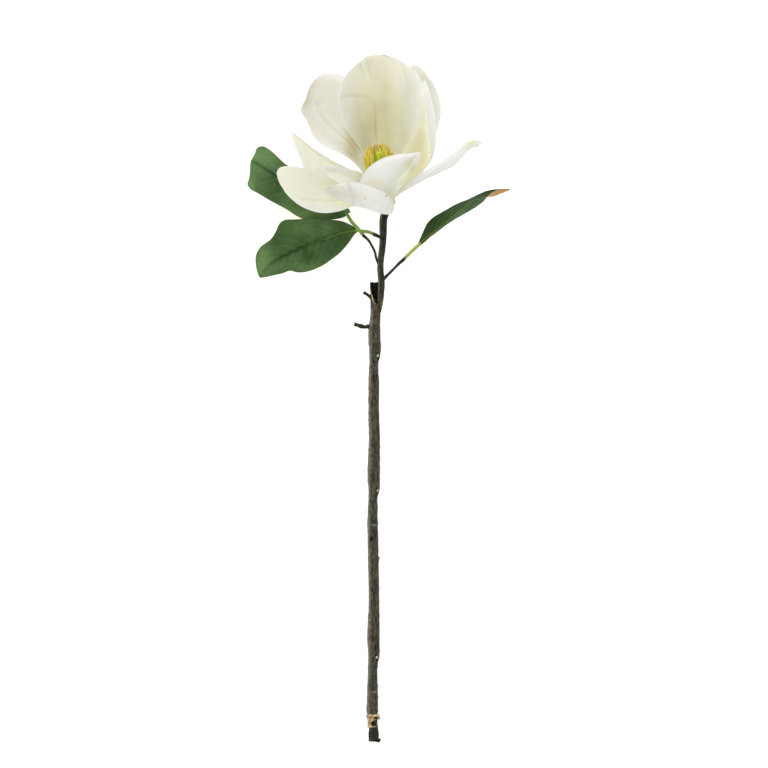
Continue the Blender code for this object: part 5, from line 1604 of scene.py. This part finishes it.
def warmth_of(where):
    """How warm the bark is, by its height on the plan: grey green low down, brown near the sleeve."""
    return np.clip((where[..., 1] - COOL_UP_TO) / WARMING, LEAST_WARMTH, 1)


def make_rod(name, stations, make, settings, marks, seed):
    """A bark covered rod through (x, y, z, radius) stations in space."""
    rows, sides, relief, darkness = make
    route = smooth_curve(stations, np.linspace(0, 1, rows))
    grid = rolled(route[:, :3], route[:, 3], sides)
    rough, ridge = bark_relief(grid, settings, seed)
    grid = grid + (rough - grid) * relief
    where = shown_at(grid)
    clear = np.zeros_like(ridge)
    notes = {"ridge": ridge, "scar": clear, "dark": clear + darkness, "tan": clear, "moss": clear,
             "film_and_highlight": clear, "warm": warmth_of(where) * max(0.0, 1.0 - DARK_COOLING * darkness)}
    top = face_normals(grid)
    for kind, centre, size, height, amount in marks:
        near = ((where[..., 0] - centre[0]) / size[0]) ** 2 + ((where[..., 1] - centre[1]) / size[1]) ** 2
        near = near + MARK_LUMPS * cloudy(grid, MARK_LUMP_SIZE, seed + 4.0)
        share = np.clip(MARK_SHARPNESS - MARK_SHARPNESS * near, 0, 1) * (top[..., 2] > MARK_TURN) * amount
        notes[kind] = np.maximum(notes[kind], share)
        grid = grid + top * (share * height)[..., None]
    grid[..., 2] = np.maximum(grid[..., 2], 0.0)
    grid = close_grid(grid)
    # painted highlight: faces that look to the left take the pale grey of the rings and flakes
    left_side_highlight = np.clip(-top[..., 0] * 1.6 - 0.55, 0, 1)
    notes["film_and_highlight"] = np.maximum(notes["film_and_highlight"], left_side_highlight * 0.8)
    piece = new_grid(name, grid, **notes)
    weld(piece)
    return piece


class MAGNOLIA_OT_stem(bpy.types.Operator):
    """Woody stem with its leaf scars, torn bark sleeve, twigs and stubs"""
    bl_idname = "magnolia.stem"
    bl_label = "Stem"

    def execute(self, context):
        settings = context.scene.magnolia_bark
        pieces = [make_rod("woody_stem", in_space(STEM), THICK_ROD, settings, STEM_MARKS, 3.0)]
        top_radius = UPPER_STEM[-1][3]
        upper = in_space(UPPER_STEM)
        upper += [[*on_axis(RECEPTACLE_FOOT - below), top_radius] for below in (3.0, 0.2)]
        pieces.append(make_rod("thin_stem", upper, THIN_ROD, settings, UPPER_MARKS, 4.0))
        for number, (name, stations) in enumerate(TWIGS.items()):
            spots = in_space(stations, STUB_SWELL if name.startswith("stub") else 1.0)
            if name.startswith("twig"):
                # a twig runs on a little way into the leaf stalk that it carries
                ahead = unit(np.array(spots[-1][:3]) - np.array(spots[-2][:3])) * TWIG_REACH
                spots.append([*(np.array(spots[-1][:3]) + ahead), spots[-1][3] * 0.9])
            pieces.append(make_rod(name + "_bark", spots, TWIG_ROD, settings, TWIG_MARKS, 5.0 + number))
        material = bark_finish(settings)
        for piece in pieces:
            dress(piece, material)
        pieces.append(make_sleeve(material, sleeve_shade_finish()))
        piece = join(pieces, "stem_bark")
        place(piece, "bark", "stem")
        return {"FINISHED"}


def make_sleeve(bark, inside):
    """Torn open bark above the thick stem: its front wall is gone and its top is ragged."""
    foot = plan(*STEM[-2][:3])
    head = plan(*SLEEVE_HEAD)
    rise = unit(head - foot)
    sideways = unit(np.cross(rise, [0.0, 0.0, 1.0]))
    up = np.cross(sideways, rise)
    points = np.zeros((SLEEVE_ROWS + 1, SLEEVE_COLUMNS + 1, 3))
    full_height = np.linalg.norm(head - foot)
    edge = np.zeros(points.shape[:2])
    for column in range(SLEEVE_COLUMNS + 1):
        angle = 2 * math.pi * (column % SLEEVE_COLUMNS) / SLEEVE_COLUMNS
        out = math.cos(angle) * sideways + math.sin(angle) * up
        tear = SLEEVE_TEAR * max(0.0, math.sin(angle + SLEEVE_TURN)) ** 0.7
        ragged = SLEEVE_RAGGED * (0.5 + 0.5 * noise_round(angle, 3.0, 7.0))
        fine = SLEEVE_FINE_RAGGED * noise_round(angle, 14.0, 2.0)
        tall = full_height - tear - ragged - fine
        for row in range(SLEEVE_ROWS + 1):
            share = row / SLEEVE_ROWS
            wave = SLEEVE_WAVE * noise_round(angle, 2.0, share * 3.0)
            radius = SLEEVE_RADIUS + wave + SLEEVE_FLARE * share ** 3
            points[row, column] = foot + rise * (tall * share) + out * radius
            edge[row, column] = max(0.0, share * tall - tall + SLEEVE_EDGE) / SLEEVE_EDGE
    notes = {key: np.zeros(points.shape[:2]) for key in ("dark", "tan", "moss", "film_and_highlight")}
    points = points[:, ::-1]
    torn = patch(shown_at(points), SLEEVE_FIBRES, "torn")
    notes["tan"] = edge[:, ::-1] * torn
    ridge = np.clip(0.5 + cloudy(points * (1.0, 0.2, 1.0), 1.2, 8.0), 0, 1)
    notes["warm"] = warmth_of(shown_at(points))
    piece = new_grid("sleeve_bark", points, ridge=ridge, scar=edge[:, ::-1] * torn * 0.4, **notes)
    weld(piece)
    # the inner face takes the sleeve's painted shade
    dress(piece, bark, inside)
    thicken(piece, SLEEVE_WALL * MM)
    return piece


def band_cover(x, y, up):
    """Where the band is kept, by its place on the plan and by how far its face points up."""
    # in front: a strip along the top, a block at the left of it, a tongue to the right, a column down the
    # left side and an arc along the bottom, all round a bare patch of the stem
    strip = y > -316.9
    block = (x < -4.9 + 0.3 * (y + 317)) & (y > -320.9 + 0.3 * (x + 7.5))
    tongue = (x > -6.0) & (x < -2.6) & (np.abs(y + 319.9 - 0.3 * (x + 6.0)) < 0.55)
    column = (x < -4.9) & (y < -319.5)
    arc = (y < -325.9) & (x < -3.0)
    bare = np.hypot(x + 5.2, y + 323.7) <= 2.7
    front = strip | block | tongue | (column | arc) & ~bare
    # behind: the strip and the left side alone
    cover = np.where(up > 0, front, strip | (x < -9.0))
    # its top and bottom edges are ragged
    return cover & (y > BAND_BOTTOM + 0.3) & (y < BAND_TOP - 0.2)


class MAGNOLIA_OT_bark_band(bpy.types.Operator):
    """Ragged scrap of pale inner bark near the cut end"""
    bl_idname = "magnolia.bark_band"
    bl_label = "Bark band"

    def execute(self, context):
        settings = context.scene.magnolia_bark
        axis_x, axis_z = BAND_AXIS
        radius = BAND_STEM_RADIUS + BAND_GAP + BAND_WALL / 2
        turn = np.linspace(0, 2 * np.pi, BAND_COLUMNS + 1)
        turn[-1] = 0.0
        grid = np.zeros((BAND_ROWS + 1, BAND_COLUMNS + 1, 3))
        for row, y in enumerate(np.linspace(BAND_TOP, BAND_BOTTOM, BAND_ROWS + 1)):
            for column, angle in enumerate(turn):
                out = np.array([math.cos(angle), 0.0, math.sin(angle)])
                loose = BAND_GAP + BAND_GAP * noise_round(angle, 2.0, y * 0.4)
                grid[row, column] = plan(axis_x, y, axis_z) + out * (radius + loose)
        where = shown_at(grid)
        x = where[..., 0] + cloudy(grid, 1.4, 6.0) * BAND_RAGGED
        y = where[..., 1] + cloudy(grid, 1.6, 3.0) * BAND_RAGGED
        up = np.sin(turn)[None, :] * np.ones((BAND_ROWS + 1, 1))
        cover = band_cover(x, y, up)
        flakes = patch(where, BAND_FLAKES, "nub") + patch(where, BAND_FLAKES, "lilac")
        cover = cover | (flakes > FLAKE_EDGE) & (up > -0.2)
        grid = grid + face_normals(grid) * (np.clip(flakes, 0, 1) * FLAKE_HEIGHT * (up > -0.6))[..., None]
        grid[:, -1] = grid[:, 0]
        # cream marks are painted highlights, dark marks painted shade in the creases
        marks = {kind: np.clip(patch(where, BAND_FLAKES, kind), 0, 1) for kind, _ in BAND_MARKS}
        piece = new_grid("inner_bark_scrap", grid, cover=cover.astype(float), **marks)
        cut_away(piece, "cover")
        weld(piece)
        dress(piece, inner_bark_finish(settings))
        thicken(piece, BAND_WALL * MM, 1.0, 0)
        place(piece, "inner_bark", "bark_band")
        return {"FINISHED"}


class MAGNOLIA_OT_stage(bpy.types.Operator):
    """Pale floor, soft studio light and the camera that looks straight down"""
    bl_idname = "magnolia.stage"
    bl_label = "Stage"

    def execute(self, context):
        settings = context.scene.magnolia_stage
        bpy.ops.object.select_all(action="DESELECT")
        bpy.ops.mesh.primitive_plane_add(size=settings.floor_size, location=(0.0, 0.0, -FLOOR_DROP))
        floor = context.active_object
        floor.name = "floor"
        material, _, shader = new_material("floor_paper", 0.9, Specular_IOR_Level=0.1)
        shader.inputs["Base Color"].default_value = (*settings.floor_colour, 1.0)
        shader.inputs["Emission Color"].default_value = WHITE
        shader.inputs["Emission Strength"].default_value = settings.floor_glow
        dress(floor, material)

        world = bpy.data.worlds.new("studio_sky")
        context.scene.world = world
        world.use_nodes = True
        sky = world.node_tree.nodes["Background"]
        sky.inputs["Color"].default_value = WHITE
        sky.inputs["Strength"].default_value = settings.sky

        bpy.ops.object.light_add(type="AREA", location=KEY_PLACE)
        key = context.active_object
        key.name = "key_light"
        key.data.shape = "DISK"
        key.data.size = KEY_SIZE
        key.data.energy = settings.key_power
        aim = Vector(KEY_AIM) - key.location
        key.rotation_euler = aim.to_track_quat("-Z", "Y").to_euler()

        bpy.ops.object.camera_add(
            location=(AIM[0] * MM, AIM[1] * MM, EYE_HEIGHT * MM), rotation=(0.0, 0.0, 0.0))
        camera = context.active_object
        camera.name = "photo_camera"
        camera.data.lens = LENS
        camera.data.sensor_width = SENSOR
        camera.data.sensor_fit = "HORIZONTAL"
        camera.data.clip_end = SIGHT
        context.scene.camera = camera
        context.scene.view_settings.view_transform = "Standard"
        return {"FINISHED"}


class MAGNOLIA_PT_panel(bpy.types.Panel):
    """All settings, each group above the operators that use it"""
    bl_idname = "MAGNOLIA_PT_panel"
    bl_label = "Magnolia stem"
    bl_space_type = "VIEW_3D"
    bl_region_type = "UI"
    bl_category = "Magnolia"

    def draw(self, context):
        for settings, operators in PANEL_ROWS:
            box = self.layout.box()
            group = getattr(context.scene, settings)
            for key in group.__annotations__:
                box.prop(group, key)
            for operator in operators:
                box.operator(operator)


PANEL_ROWS = (
    ("magnolia_petals", ("magnolia.petals",)),
    ("magnolia_heart", ("magnolia.receptacle", "magnolia.stamens", "magnolia.carpels")),
    ("magnolia_leaves", ("magnolia.leaves",)),
    ("magnolia_bark", ("magnolia.stem", "magnolia.bark_band")),
    ("magnolia_stage", ("magnolia.stage",)),
)
SETTINGS = {"magnolia_petals": PetalSettings, "magnolia_heart": HeartSettings,
            "magnolia_leaves": LeafSettings, "magnolia_bark": BarkSettings, "magnolia_stage": StageSettings}
OPERATORS = (MAGNOLIA_OT_petals, MAGNOLIA_OT_receptacle, MAGNOLIA_OT_stamens, MAGNOLIA_OT_carpels,
             MAGNOLIA_OT_leaves, MAGNOLIA_OT_stem, MAGNOLIA_OT_bark_band, MAGNOLIA_OT_stage)


def register():
    """Adds the settings, the operators and the panel."""
    for group in SETTINGS.values():
        bpy.utils.register_class(group)
    for name, group in SETTINGS.items():
        setattr(bpy.types.Scene, name, PointerProperty(type=group))
    for kind in OPERATORS + (MAGNOLIA_PT_panel,):
        bpy.utils.register_class(kind)


def unregister():
    """Takes out what register adds."""
    for kind in reversed(OPERATORS + (MAGNOLIA_PT_panel,)):
        bpy.utils.unregister_class(kind)
    for name in SETTINGS:
        delattr(bpy.types.Scene, name)
    for group in reversed(list(SETTINGS.values())):
        bpy.utils.unregister_class(group)


def main():
    """Makes the flower and its stage."""
    register()
    bpy.ops.magnolia.petals()
    bpy.ops.magnolia.receptacle()
    bpy.ops.magnolia.stamens()
    bpy.ops.magnolia.carpels()
    bpy.ops.magnolia.leaves()
    bpy.ops.magnolia.stem()
    bpy.ops.magnolia.bark_band()
    bpy.ops.magnolia.stage()


if __name__ == "__main__":
    main()
